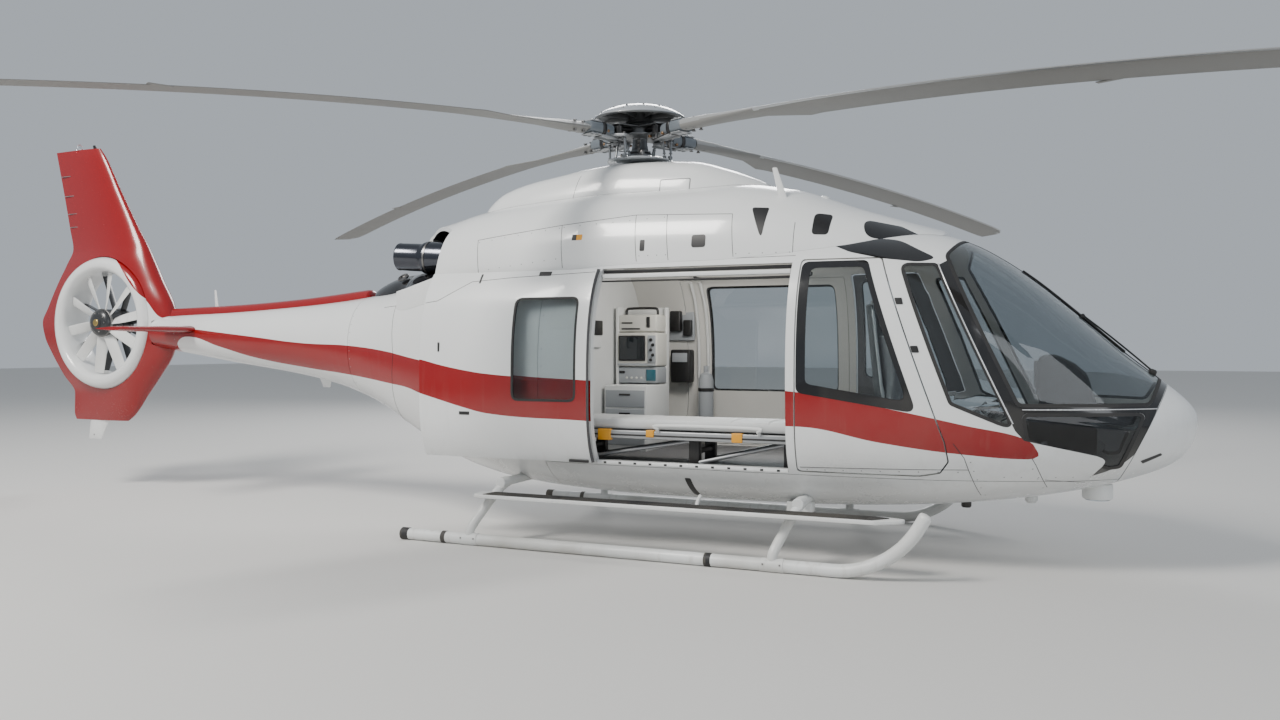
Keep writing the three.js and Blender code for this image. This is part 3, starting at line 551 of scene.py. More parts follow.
def build_weather():
    """Patchy dust that thickens towards the ground, as a mask and a dusted colour."""
    group, a, b = new_group("weather", [("Color", "NodeSocketColor", (.8, .8, .8, 1)),
        ("Dust", "NodeSocketFloat", .3), ("Dust Color", "NodeSocketColor", (.3, .27, .22, 1)),
        ("Roughness", "NodeSocketFloat", .3), ("Low", "NodeSocketFloat", .3),
        ("High", "NodeSocketFloat", 1.2)],
        [("Color", "NodeSocketColor"), ("Roughness", "NodeSocketFloat"), ("Mask", "NodeSocketFloat"),
        ("Height", "NodeSocketFloat")])
    place = node(group, "ShaderNodeTexCoord").outputs["Object"]
    cloud = node(group, "ShaderNodeTexNoise", {"Vector": place, "Scale": 2.2, "Detail": 6.0})
    fine = node(group, "ShaderNodeTexNoise", {"Vector": place, "Scale": 60.0, "Detail": 3.0})
    stretch = node(group, "ShaderNodeMapping", {"Vector": place, "Scale": (9.0, 9.0, .7)})
    streak = node(group, "ShaderNodeTexNoise", {"Vector": stretch.outputs[0], "Scale": 2.0, "Detail": 4.0})
    z = node(group, "ShaderNodeSeparateXYZ", {0: place}).outputs["Z"]
    low = node(group, "ShaderNodeMapRange", {"Value": z, "To Min": 1.0, "To Max": .12})
    group.links.new(a.outputs["Low"], low.inputs["From Min"])
    group.links.new(a.outputs["High"], low.inputs["From Max"])
    patch = node(group, "ShaderNodeMapRange", {"Value": cloud.outputs["Fac"], "From Min": .38,
        "From Max": .72})
    line = node(group, "ShaderNodeMapRange", {"Value": streak.outputs["Fac"], "From Min": .5,
        "From Max": .78})
    both = maths(group, "MAXIMUM", patch.outputs[0], line.outputs[0])
    spread = maths(group, "MULTIPLY", both, low.outputs[0])
    mask = maths(group, "MULTIPLY", spread, a.outputs["Dust"], clamp=True)
    mix = node(group, "ShaderNodeMix", {0: mask, 6: a.outputs["Color"], 7: a.outputs["Dust Color"]},
        data_type="RGBA")
    vary = maths(group, "MULTIPLY_ADD", fine.outputs["Fac"], .06, -.03)
    rough = maths(group, "MULTIPLY_ADD", mask, .5, a.outputs["Roughness"])
    for label, value in (("Color", mix.outputs[2]), ("Mask", mask), ("Height", fine.outputs["Fac"]),
            ("Roughness", maths(group, "ADD", rough, vary, clamp=True))):
        group.links.new(value, b.inputs[label])
    return group


weather = build_weather()
print("group", weather.name, "has", len(weather.nodes), "nodes")

# %% [markdown]
# The red stripe runs the whole length, over doors and body alike, so it is painted by position
# instead of cut into the mesh. Two curves give its lower and upper edge as heights along X. A
# point between them is red. Because the paint asks only for the place, the stripe flows across
# every seam.

# %% Paint
STRIPE = [
    # station, lower edge, upper edge
    (-5.28, 1.38, 1.668), (-4.95, 1.38, 1.662), (-4.89, 1.44, 1.658), (-4.83, 1.52, 1.652),
    (-4.7, 1.561, 1.642), (-4.27, 1.464, 1.6), (-3.84, 1.362, 1.559), (-3.2, 1.274, 1.498),
    (-2.58, 1.216, 1.474), (-2.06, 1.16, 1.424), (-1.8, 1.13, 1.383), (-1.644, 1.092, 1.36),
    (-1.34, 1.04, 1.322), (-.79, .97, 1.265), (.3, .93, 1.215), (1.55, .94, 1.17), (2.12, .85, 1.08),
    (2.61, .79, .98), (3.0, .765, .885), (3.06, .79, .8),
]
OPEN_DOOR_STRIPE = [
    # the open right door stands further out, so its edges are its own
    (-1.46, 1.13, 1.38), (-1.39, 1.111, 1.37), (-1.2, 1.062, 1.328), (-1.0, 1.012, 1.292),
    (-.79, .97, 1.265), (.06, .936, 1.227),
]
FIN_WHITE = [
    (-5.99, 1.668, 2.375), (-5.72, 1.668, 2.311), (-5.48, 1.668, 2.061), (-5.33, 1.668, 1.915),
    (-5.19, 1.664, 1.76), (-5.08, 1.66, 1.74),
]
RING_RED = [(-5.93, 2.395, 2.6), (-5.72, 2.311, 2.6), (-5.48, 2.061, 2.6), (-5.33, 1.915, 2.6),
    (-5.19, 1.76, 2.6)]


# %% Masks and painted materials
def new_material(name):
    mat = bpy.data.materials.new(name)
    mat.use_nodes = True
    tree = mat.node_tree
    return mat, tree, tree.nodes["Principled BSDF"]


def float_curve(tree, value, points):
    made = tree.nodes.new("ShaderNodeFloatCurve")
    curve = made.mapping.curves[0]
    made.mapping.use_clip = False
    while len(curve.points) < len(points):
        curve.points.new(.5, .5)
    for p, (x, y) in zip(curve.points, points):
        p.location = (x, y)
        p.handle_type = "AUTO_CLAMPED"
    made.mapping.update()
    tree.links.new(value, made.inputs["Value"])
    return made.outputs[0]


def band_mask(tree, table):
    """1 between the lower and the upper edge that a table gives along X, else 0."""
    place = node(tree, "ShaderNodeTexCoord").outputs["Object"]
    xyz = node(tree, "ShaderNodeSeparateXYZ", {0: place})
    x0, x1 = table[0][0], table[-1][0]
    along = node(tree, "ShaderNodeMapRange", {"Value": xyz.outputs["X"], "From Min": x0 + MAST,
        "From Max": x1 + MAST}).outputs[0]
    low = float_curve(tree, along, [((x - x0) / (x1 - x0), z / 3) for x, z, _ in table])
    high = float_curve(tree, along, [((x - x0) / (x1 - x0), z / 3) for x, _, z in table])
    third = maths(tree, "DIVIDE", xyz.outputs["Z"], 3.0)
    mask = maths(tree, "GREATER_THAN", third, low)
    for how, value, limit in (("LESS_THAN", third, high), ("LESS_THAN", xyz.outputs["X"],
            x1 + MAST - .004), ("GREATER_THAN", xyz.outputs["X"], x0 + MAST)):
        mask = maths(tree, "MULTIPLY", mask, maths(tree, how, value, limit))
    return mask


def weathered(tree, bsdf, base, dust, rough, low, high, coat):
    """The shared weather over a base colour, wired to colour and roughness."""
    wear = node(tree, "ShaderNodeGroup", {"Color": base, "Dust": dust, "Roughness": rough, "Low": low,
        "High": high}, node_tree=weather)
    tree.links.new(wear.outputs["Color"], bsdf.inputs["Base Color"])
    tree.links.new(wear.outputs["Roughness"], bsdf.inputs["Roughness"])
    bsdf.inputs["Coat Weight"].default_value = coat
    return wear


def paint(name, colour, rough=.22, dust=.25, band=None, band_colour=None, low=.3, high=1.3, coat=.4):
    mat, tree, bsdf = new_material(name)
    base = (*colour, 1)
    if band:
        base = node(tree, "ShaderNodeMix", {0: band_mask(tree, band), 6: base, 7: (*band_colour, 1)},
            data_type="RGBA").outputs[2]
    wear = weathered(tree, bsdf, base, dust, rough, low, high, coat)
    bump = node(tree, "ShaderNodeBump", {"Strength": .04, "Distance": .002,
        "Height": wear.outputs["Height"]})
    tree.links.new(bump.outputs[0], bsdf.inputs["Normal"])
    bsdf.inputs["Coat Roughness"].default_value = .06
    return mat


# %% The paints
WHITE = (.76, .77, .765)
RED = (.26, .0012, .0025)
body_paint = paint("white_body_paint", WHITE, band=STRIPE, band_colour=RED, dust=.2)
open_door_paint = paint("open_door_paint", WHITE, band=OPEN_DOOR_STRIPE, band_colour=RED, dust=.2)
white_paint = paint("white_paint", WHITE, dust=.2)
red_paint = paint("red_paint", RED, rough=.26, dust=.04, coat=.45)
fin_paint = paint("fin_paint", RED, rough=.26, dust=.04, coat=.45, band=FIN_WHITE, band_colour=WHITE)
ring_paint = paint("ring_paint", WHITE, dust=.2, band=RING_RED, band_colour=RED)
skid_paint = paint("skid_paint", (.72, .73, .72), rough=.38, dust=.55, low=.0, high=.5, coat=.1)
print("paints ready")


# %% Plastics and metals
def plain(name, colour, rough=.5, metal=0.0, dust=.1, bump=.15, scale=90.0, coat=0.0, low=.2, high=2.5):
    """Plastic, metal or coated sheet with a fine uneven surface."""
    mat, tree, bsdf = new_material(name)
    weathered(tree, bsdf, (*colour, 1), dust, rough, low, high, coat)
    place = node(tree, "ShaderNodeTexCoord").outputs["Object"]
    grain = node(tree, "ShaderNodeTexNoise", {"Vector": place, "Scale": scale, "Detail": 5.0})
    dent = node(tree, "ShaderNodeBump", {"Strength": bump, "Distance": .001,
        "Height": grain.outputs["Fac"]})
    tree.links.new(dent.outputs[0], bsdf.inputs["Normal"])
    bsdf.inputs["Metallic"].default_value = metal
    return mat


black_satin = plain("black_satin", (.012, .012, .013), rough=.38)
black_gloss = plain("black_gloss", (.006, .006, .007), rough=.12, bump=.02, coat=.5)
rubber = plain("seal_rubber", (.015, .015, .016), rough=.65, bump=.3, scale=200)
lining = plain("cabin_lining", (.62, .61, .575), rough=.7, bump=.35, scale=260)
# dark lining of the front doors, also used as painted shade on the cut edges of the sliding doors
dark_lining_and_edge_shade = plain("door_lining", (.1, .1, .105), rough=.6, bump=.3, scale=220)
floor_grip = plain("floor_grip", (.13, .13, .135), rough=.75, bump=.6, scale=320)
steel = plain("dark_steel", (.22, .215, .21), rough=.34, metal=1.0, bump=.1, scale=40)
alloy = plain("cast_alloy", (.45, .46, .47), rough=.42, metal=1.0, bump=.3, scale=160)
# dark metal of the rotor head, also used as painted shade on the underside of the hub cap
metal_and_cap_shade = plain("head_metal", (.16, .165, .17), rough=.42, metal=.7, bump=.2, scale=120)


# %% [markdown]
# Glass would throw a dark shadow into the cabin, because light that bends isn't traced back to
# a lamp. So shadow rays meet a clear material instead.

# %% Glass
def glass(name, tint, rough=.0):
    """Clear pane. Shadow rays pass straight through, so that daylight reaches the seats."""
    mat, tree, bsdf = new_material(name)
    bsdf.inputs["Base Color"].default_value = (*tint, 1)
    bsdf.inputs["Transmission Weight"].default_value = 1.0
    bsdf.inputs["Roughness"].default_value = rough
    bsdf.inputs["IOR"].default_value = 1.45
    clear = node(tree, "ShaderNodeBsdfTransparent", {"Color": (*tint, 1)})
    ray = node(tree, "ShaderNodeLightPath")
    mix = node(tree, "ShaderNodeMixShader", {0: ray.outputs["Is Shadow Ray"], 1: bsdf.outputs[0],
        2: clear.outputs[0]})
    tree.links.new(mix.outputs[0], tree.nodes["Material Output"].inputs["Surface"])
    return mat


window_glass = glass("window_glass", (.62, .66, .67))
tinted_glass = glass("tinted_glass", (.5, .54, .56))
chin_glass = glass("chin_glass", (.16, .17, .18))

# %% [markdown]
# Body skin. Each panel is a length of the same hull, so neighbours line up. The panels stop a
# few millimetres short of each other, and the dark line between them is a real seam.

# %% Body panels
FRONT_DOOR = [(1.556, .64), (2.345, .64), (2.469, .665), (2.523, .74), (2.505, .866), (2.083, 2.055),
    (1.556, 2.055)]
FRONT_GLASS = [(1.612, 1.215), (2.3, 1.105), (1.985, 2.01), (1.612, 2.01)]
QUARTER = [(2.2, 2.02), (2.54, 1.105), (2.94, .935), (2.438, 2.015)]
SCREEN = [(2.936, 1.095), (3.7, 1.095), (3.8, 1.305), (3.9, 2.6), (2.785, 2.6), (2.47, 2.075)]
CHIN = [(2.96, 1.055), (2.985, .88), (3.455, .69), (3.53, .7), (3.68, 1.055)]
SLIDE_RIGHT = [(.868, 1.07), (1.4, 1.07), (1.4, 1.83), (.868, 1.83)]
SLIDE_LEFT = [(.27, 1.08), (1.4, 1.08), (1.4, 1.985), (.27, 1.985)]
DOORWAY = [(.05, .625), (1.49, .625), (1.49, 2.04), (.05, 2.04)]
# the same windows with their corners rounded
SCREEN_SHAPE, CHIN_SHAPE = soften(SCREEN, .06), soften(CHIN, .045)
QUARTER_SHAPE, GLASS_SHAPE = soften(QUARTER, .05), soften(FRONT_GLASS, .06)


NOSE_SEAM, SEAM_HEIGHT, SEAM_LEAN = 3.805, 1.21, .476


def nose_block(shift):
    """All that lies ahead of the leaning seam between the cabin and the nose cap."""
    def at(z):
        return NOSE_SEAM + shift + SEAM_LEAN * (z - SEAM_HEIGHT)
    return prism("tool", [(at(.2), .2), (4.3, .2), (4.3, 1.8), (at(1.8), 1.8)], -1.5, 1.5)


def side_tool(outline, side, depth=.4):
    return prism("tool", outline, -1.5, -depth) if side < 0 else prism("tool", outline, depth, 1.5)


# %% Bars and turned parts
def tube(name, path, radius, count=20):
    """A round bar along points, its rings turned to share the bend at each point."""
    pts = [Vector(p) for p in path]
    rings = []
    up = Vector(UP)
    first = (pts[1] - pts[0]).normalized()
    if abs(first.dot(up)) > .95:
        up = Vector(ACROSS)
    u = (up - first * up.dot(first)).normalized()
    last = first
    for i, p in enumerate(pts):
        a = (p - pts[i - 1]).normalized() if i else first
        b = (pts[i + 1] - p).normalized() if i + 1 < len(pts) else a
        t = (a + b).normalized()
        u = (last.rotation_difference(t) @ u).normalized()
        last = t
        v = t.cross(u)
        r = radius[i] if isinstance(radius, (list, tuple)) else radius
        rings.append([p + (u * math.cos(k) + v * math.sin(k)) * r
            for k in np.arange(count) * 2 * math.pi / count])
    return make(name, *rings_to_mesh(rings))


def lathe(name, profile, origin, axis, count=48):
    """Turned shape. The profile is radius, distance along the axis."""
    w = Vector(axis).normalized()
    side = Vector((1, 0, 0)) if abs(w.z) > .9 else Vector(UP)
    u = (side - w * side.dot(w)).normalized()
    v = w.cross(u)
    o = Vector(origin)
    rings = [[o + w * h + (u * math.cos(k) + v * math.sin(k)) * r
        for k in np.arange(count) * 2 * math.pi / count] for r, h in profile]
    return make(name, *rings_to_mesh(rings))


def bar(path, radius, count=20):
    """A smooth tube."""
    return shade(tube("part", path, radius, count))


def bent(points, radius, count):
    """A smooth tube that bends softly through the points."""
    return bar(smooth_path(points), radius, count)


def turned(profile, at, axis, count=48):
    """A smooth turned part."""
    return shade(lathe("part", profile, at, axis, count))


def mast_hole():
    return lathe("tool", [(.108, 2.3), (.108, 3.1)], ORIGIN, UP)


# %% Nose, lower hull and cabin
ARCH = [(1.15, .06, 0), (1.145, .12, .02), (1.06, .235, .4), (.96, .34, .75), (.86, .4, .95),
    (.74, .42, 1)]


def arch_path(x0, x1, top):
    half = [(x0 + (x1 - x0) * f, y, z + top * f) for y, z, f in ARCH]
    return [(x, -y, z) for x, y, z in half] + [(x, y, z) for x, y, z in reversed(half)]


FRONT_ARCH = smooth_path(arch_path(1.45, 1.56, 0))
REAR_ARCH = smooth_path(arch_path(-.87, -.74, .022))

nose = combine(loft("nose_cap_skin", skin, 3.4, NOSE_TIP), [nose_block(GAP)], "INTERSECT")
finish_piece(shade(nose, skin), body_paint, "nose_cap")

hull = loft("lower_hull_skin", skin, -.4 + GAP, 3.9)
hull = combine(hull, [block("tool", -1, 4.3, -1.5, 1.5, FLOOR_Z - .001, 3), nose_block(-GAP),
    tube("tool", FRONT_ARCH, .036)])
finish_piece(shade(hull, skin), body_paint, "lower_hull")

shell = loft("cabin_skin", skin, -.4 + GAP, 3.95)
cutters = [loft("tool", skin, -.5, 3.95, -WALL), block("tool", -1, 4.3, -1.5, 1.5, 0, FLOOR_Z + GAP),
    nose_block(-GAP)]
for side in (-1, 1):
    cutters += [side_tool(inset(DOORWAY, -.001), side), side_tool(soften(inset(FRONT_DOOR, -.008), .03),
        side), side_tool(QUARTER_SHAPE, side), side_tool(CHIN_SHAPE, side, .03),
        side_tool(SCREEN_SHAPE, side, .03)]
shell = combine(shell, cutters)
inner_faces(shell, skin, 1)
finish_piece(shade(shell, skin), [body_paint, lining, white_paint], "cabin_shell")
print("cabin skin triangles:", sum(len(p.vertices) - 2 for p in shell.data.polygons))

aft = combine(loft("aft_skin", skin, -2.6 + GAP, -.4 - GAP), [tube("tool", REAR_ARCH, .036)])
finish_piece(shade(aft, skin), body_paint, "aft_fuselage")


# %% Boom, stabilizer and spine
def wing_section(lead, tail, half, count=40):
    """Nose-rounded section, from the leading edge over the top and back underneath."""
    t = np.linspace(0, 2 * math.pi, count, endpoint=False)
    s = (1 - np.cos(t)) / 2
    thick = half * 10 * (.2969 * np.sqrt(s) - .126 * s - .3516 * s ** 2 + .2843 * s ** 3 - .09 * s ** 4)
    return lead + (tail - lead) * s, np.where(t <= math.pi, thick, -thick)


def stabilizer(name, extra=0.0):
    rings = []
    for y in np.linspace(-1.0, 1.0, 61):
        a = abs(y)
        inboard, tip = min(a / .96, 1), max(a - .96, 0) / .04
        lead = -4.58 - .06 * inboard - .03 * tip
        tail = -5.02 + .025 * inboard + .01 * tip
        half = .034 - .011 * inboard - .007 * tip
        x, z = wing_section(lead + extra, tail - extra, half + extra)
        rings.append(np.column_stack([x, np.full(len(x), y), 1.63 + z]))
    return make(name, *rings_to_mesh(rings))


boom = combine(loft("boom_skin", skin, -5.275, -2.6 - GAP, soft_start=.05), [stabilizer("tool", .004)])
finish_piece(shade(boom, skin), body_paint, "tail_boom")
stab = stabilizer("stabilizer_skin")
finish_piece(shade(stab), red_paint, "horizontal_stabilizer")

SPINE = np.array([
    (-5.08, .075, 1.73, 1.845, 1.67, 2.6, 2.6), (-4.24, .085, 1.753, 1.868, 1.693, 2.6, 2.6),
    (-3.5, .092, 1.793, 1.908, 1.733, 2.6, 2.6), (-2.64, .1, 1.87, 1.985, 1.81, 2.6, 2.6),
])
spine_form = Hull(SPINE)
spine = combine(loft("spine_skin", spine_form, -5.08, -2.64, count=48, soft_end=.05),
    [loft("tool", skin, -5.27, -2.4, .001)])
finish_piece(shade(spine, spine_form), red_paint, "spine_fairing")

# %% [markdown]
# Glass. A pane is a thin shell cut from the same hull by the outline of its window, so it
# follows the curve of the nose in both directions. A black seal, a little proud of the paint,
# frames it.

# %% Panes and seals
def pane(name, outline, side, depth, material, body="airframe", move=(0, 0)):
    made = combine(loft(name, skin, -.3, 3.95, -.003), [loft("tool", skin, -.4, 3.96, -.009)])
    made = combine(made, [side_tool(inset(outline, GAP), side, depth)], "INTERSECT")
    shade(made, skin)
    made.data.transform(Matrix.Translation((*move, 0)))
    return finish_piece(made, material, name.replace("_pane", ""), body=body)


def seal(name, outline, side, depth, body="airframe", width=.022, proud=.0015, move=(0, 0), material=None,
        outer=None):
    made = combine(loft(name, skin, -.3, 3.95, proud), [loft("tool", skin, -.4, 3.96, -.006)])
    made = combine(made, [side_tool(outer or inset(outline, -.002), side, depth)], "INTERSECT")
    inner_depth = depth + (width if depth < .1 else 0)
    made = combine(made, [side_tool(inset(outline, width), side, inner_depth)])
    shade(made, skin)
    made.data.transform(Matrix.Translation((*move, 0)))
    return finish_piece(made, material or rubber, body=body)


for word, side in SIDES:
    for label, shape, near, seal_near, looks in (("windscreen", SCREEN_SHAPE, .032, .03, tinted_glass),
            ("chin_window", CHIN_SHAPE, .032, .03, chin_glass), ("quarter_window", QUARTER_SHAPE, .4, .4,
            window_glass)):
        pane(f"{label}_{word}_pane", shape, side, near, looks)
        seal(f"{label}_{word}_seal", shape, side, seal_near, width=.02)
print("panes ready")

# %% [markdown]
# Doors. The front doors are lengths of skin with a rounded window and a broad black border round
# the glass. They are separate bodies, so everything on a door rides with it. The right sliding
# door stands open, out on its rail, behind the doorway.

# %% Doors
# how far the leaves of the sliding doors stand from their places in the doorway
SLIDE_MOVE = {"right": (-1.445, -.058), "left": (0.0, 0.0)}

for word, side in SIDES:
    body = f"front_door_{word}"
    leaf = combine(loft(f"{body}_skin", skin, 1.4, 2.7), [loft("tool", skin, 1.3, 2.8, -.024)])
    leaf = combine(leaf, [side_tool(soften(inset(FRONT_DOOR, .001), .03), side)], "INTERSECT")
    leaf = combine(leaf, [side_tool(GLASS_SHAPE, side)])
    inner_faces(leaf, skin, 1)
    finish_piece(shade(leaf, skin), [body_paint, dark_lining_and_edge_shade, white_paint], body, body=body)
    pane(f"front_door_glass_{word}_pane", GLASS_SHAPE, side, .4, window_glass, body)
    wide = soften([(1.562, 1.165), (2.345, 1.045), (1.999, 2.045), (1.562, 2.045)], .05)
    seal(f"front_door_{word}_border", GLASS_SHAPE, side, .4, body, width=.012, outer=wide,
        material=black_gloss, proud=.001)

    outline = SLIDE_RIGHT if side < 0 else SLIDE_LEFT
    out = SLIDE_MOVE[word]
    leaf = combine(loft(f"sliding_door_{word}_skin", skin, -.1, 1.7), [loft("tool", skin, -.2, 1.8, -.04)])
    leaf = combine(leaf, [side_tool(inset(DOORWAY, .003), side)], "INTERSECT")
    leaf = combine(leaf, [side_tool(soften(outline, .06), side)])
    inner_faces(leaf, skin, 1)
    shade(leaf, skin)
    leaf.data.transform(Matrix.Translation((*out, 0)))
    cover = open_door_paint if side < 0 else body_paint
    # the cut edges of the sliding doors take the dark lining colour: painted shade on the edge of the leaf
    finish_piece(leaf, [cover, lining, dark_lining_and_edge_shade], f"sliding_door_{word}")
    pane(f"sliding_door_glass_{word}_pane", soften(outline, .06), side, .4, window_glass, move=out)
    seal(f"sliding_door_{word}_seal", soften(outline, .06), side, .4, width=.016, move=out)
print("doors ready")

# %% [markdown]
# Engine deck. The cowling is a second hull that sits on the roof, and the mast fairing a third
# on top of that.

# %% Cowling and fairing
EXHAUST_FROM, EXHAUST_DIR = Vector((-1.56, -.25, 2.205)), Vector((-.965, -.13, .06)).normalized()
NOTCH_PLAN = [(-1.35, -.6), (-1.99, 0), (-2.3, 0), (-2.3, -.9), (-1.35, -.9)]
NOTCH_SIDE = [(-1.4, 2.7), (-1.5, 2.34), (-1.535, 2.03), (-1.88, 1.95), (-2.3, 1.88), (-2.3, 2.7)]


def notch(shift):
    """What is cut out of the cowling's right rear corner to clear the exhaust."""
    walls = plan_prism("tool", soften(inset(NOTCH_PLAN, shift), .05), 1.7, 2.8)
    return combine(walls, [prism("tool", soften(inset(NOTCH_SIDE, shift), .05), -1, .1)], "INTERSECT")


def pipe_tool(radius, start=-.2):
    return lathe("tool", [(radius, start), (radius, 1.4)], EXHAUST_FROM, EXHAUST_DIR)


cover = loft("cowling_skin", cowl, -2.04, 2.42, soft_start=.05, soft_end=.03)
cover = combine(cover, [loft("tool", cowl, -2.0, 2.38, -.03), loft("tool", skin, -2.6, 3.0, .001),
    mast_hole(), pipe_tool(.1385, .26), notch(0)])
inner_faces(cover, cowl, 1)
finish_piece(shade(cover, cowl), [white_paint, black_satin, white_paint], "engine_cowling")

cowl_wall = combine(loft("tool", cowl, -2.04, -1.5, .002), [loft("tool", cowl, -2.1, -1.4, -.032),
    notch(.002)])
heat = loft("heat_shield_skin", shield_form, -2.63, -1.6, count=96, soft_start=.05)
heat = combine(heat, [loft("tool", skin, -2.8, -1.4, .001), cowl_wall, pipe_tool(.146),
    loft("tool", spine_form, -5.0, -2.64, .002, count=48)])
scoop = turned([(.034, 0), (.05, .004), (.054, .012), (.05, .018), (.04, .016), (.034, .006)],
    (-2.15, -.218, 2.06), (-.1, -.62, .78), 40)
piece("heat_shield_skin", [(shade(heat, shield_form), 0), (scoop, 1)], [black_gloss, steel], "heat_shield")

# %% Mast fairing and exhaust
raised = loft("mast_fairing_skin", fairing, -1.33, 1.11, soft_start=.05, soft_end=.05, count=96)
raised = combine(raised, [loft("tool", cowl, -2.04, 2.42, .001), mast_hole()])
finish_piece(shade(raised, fairing), white_paint, "mast_fairing")

exhaust_metal = plain("exhaust_metal", (.085, .09, .105), rough=.2, metal=1.0, bump=.08, scale=30)
pipe = lathe("part", [(.138, 0), (.138, .285), (.1375, .3), (.13, .318), (.1215, .332), (.119, .35),
    (.1165, .54), (.1185, .552), (.1165, .56)], EXHAUST_FROM, EXHAUST_DIR, 96)
pipe = combine(pipe, [lathe("tool", [(.13, -.01), (.13, .29), (.112, .33), (.109, .57)], EXHAUST_FROM,
    EXHAUST_DIR, 96)])
clamp = turned([(.1375, .262), (.1425, .265), (.1425, .28), (.1375, .283)], EXHAUST_FROM, EXHAUST_DIR, 96)
piece("exhaust_outer", [(shade(pipe), 0), (clamp, 1)], [exhaust_metal, steel], "exhaust_pipe")

# %% [markdown]
# Tail. The fin and the shroud are one red form, drawn as wing sections stacked upwards. The
# white ring of the fan is turned on a lathe and let into it.

# %% Fin, shroud and fan
FIN = np.array([
    # z, leading edge, trailing edge, half thickness
    (.7, -5.74, -6.5, .035), (.76, -5.655, -6.525, .055), (.98, -5.47, -6.515, .1),
    (1.16, -5.315, -6.675, .135), (1.4, -5.135, -6.86, .16), (1.56, -5.09, -6.96, .168),
    (1.72, -5.085, -7.0, .17), (1.88, -5.13, -6.915, .17), (2.14, -5.285, -6.76, .16),
    (2.33, -5.39, -6.63, .14), (2.49, -5.48, -6.54, .105), (2.7, -5.62, -6.59, .08),
    (3.1, -5.87, -6.69, .058), (3.44, -6.075, -6.78, .042), (3.53, -6.15, -6.805, .028),
])
DUCT = (-5.985, 0.0, 1.708)
lead, tail, half = (monotone(FIN[:, 0], FIN[:, k]) for k in (1, 2, 3))
rings = []
for z in np.linspace(.7, 3.53, 142):
    x, y = wing_section(float(lead(z)), float(tail(z)), float(half(z)), 72)
    rings.append(np.column_stack([x, y, np.full(len(x), z)]))
fin = make("fin_shroud_skin", *rings_to_mesh(rings))
fin = combine(fin, [lathe("tool", [(.681, -.4), (.681, .4)], DUCT, ACROSS, 96),
    loft("tool", skin, -5.275, -4.0, .001)])
finish_piece(shade(fin, angle=40), fin_paint, "fin_shroud")

arc = [(.6 + .08 * math.sin(a), .07 + .11 * math.cos(a)) for a in np.linspace(0, math.pi / 2, 14)]
outer = [(r, -h) for r, h in arc] + list(reversed(arc))
ring = lathe("duct_ring_skin", outer, DUCT, ACROSS, 128)
lip = [(.53 + .062 * (1 - math.cos(a)), -.105 - .077 * math.sin(a)) for a in np.linspace(math.pi / 2, 0,
    10)]
bore = lip + [(.53, .12), (.572, .182)]
ring = combine(ring, [lathe("tool", bore, DUCT, ACROSS, 128)])
finish_piece(shade(ring, angle=50), ring_paint, "duct_ring")

# %% [markdown]
# A small tool for turned patterns, made with Geometry Nodes. It takes one part and sets copies
# of it round an axis. The same group later makes fan blades, stator struts and rings of bolts,
# only with other numbers in its inputs. Its first and last steps are functions of their own,
# because a second tool for fasteners shares them.

# %% Copies round an axis
def copies_group(name, sockets):
    """A group that copies a part: the group, its ends, the keys of its inputs, and the part."""
    group = bpy.data.node_groups.new(name, "GeometryNodeTree")
    group.interface.new_socket("Geometry", in_out="OUTPUT", socket_type="NodeSocketGeometry")
    keys = {}
    for label, kind in sockets:
        socket = group.interface.new_socket(label, in_out="INPUT", socket_type="NodeSocket" + kind)
        keys[label] = socket.identifier
    a, b = group.nodes.new("NodeGroupInput"), group.nodes.new("NodeGroupOutput")
    info = node(group, "GeometryNodeObjectInfo", {"Object": a.outputs["Part"], "As Instance": True})
    return group, a, b, keys, info.outputs["Geometry"]


def hand_out(group, a, b, copies):
    """Makes the copies real, gives them their material and hands them out."""
    real = node(group, "GeometryNodeRealizeInstances", {"Geometry": copies})
    dressed = node(group, "GeometryNodeSetMaterial",
        {"Geometry": real.outputs[0], "Material": a.outputs["Material"]})
    group.links.new(dressed.outputs[0], b.inputs[0])


def use_copies(obj, group, keys, part, **values):
    """Runs a group on an object and keeps what it makes. The part is used up."""
    step = obj.modifiers.new("copies", "NODES")
    step.node_group = group
    step[keys["Part"]] = part
    for label, value in values.items():
        step[keys[label]] = value
    bake(obj)
    drop(part)
    return obj


def build_spread():
    group, a, b, keys, part = copies_group("copies_round_axis", (("Part", "Object"), ("Count", "Int"),
        ("Axis", "Vector"), ("Pivot", "Vector"), ("Material", "Material")))
    line = node(group, "GeometryNodeMeshLine", {"Count": a.outputs["Count"], "Offset": (0, 0, 0)})
    sown = node(group, "GeometryNodeInstanceOnPoints", {"Points": line.outputs[0], "Instance": part})
    which = node(group, "GeometryNodeInputIndex")
    turn = maths(group, "DIVIDE", which.outputs[0], a.outputs["Count"])
    spin = node(group, "FunctionNodeAxisAngleToRotation",
        {"Axis": a.outputs["Axis"], "Angle": maths(group, "MULTIPLY", turn, 2 * math.pi)})
    swung = node(group, "GeometryNodeRotateInstances",
        {"Instances": sown.outputs[0], "Rotation": spin.outputs[0], "Pivot Point": a.outputs["Pivot"],
        "Local Space": False})
    hand_out(group, a, b, swung.outputs[0])
    return group, keys


spread, spread_keys = build_spread()


def around(name, part, count, axis, pivot, material):
    """Copies of a part round an axis, as one plain mesh."""
    return use_copies(make(name, [ORIGIN], []), spread, spread_keys, part, Count=count, Axis=axis,
        Pivot=(pivot[0] + MAST, pivot[1], pivot[2]), Material=material)


print("spread group inputs:", ", ".join(spread_keys))

# %% [markdown]
# The tail fan. Ten white blades turn in front of a dark gear housing, which eight struts hold
# in the duct. Each blade is a thin lens that twists from root to tip.

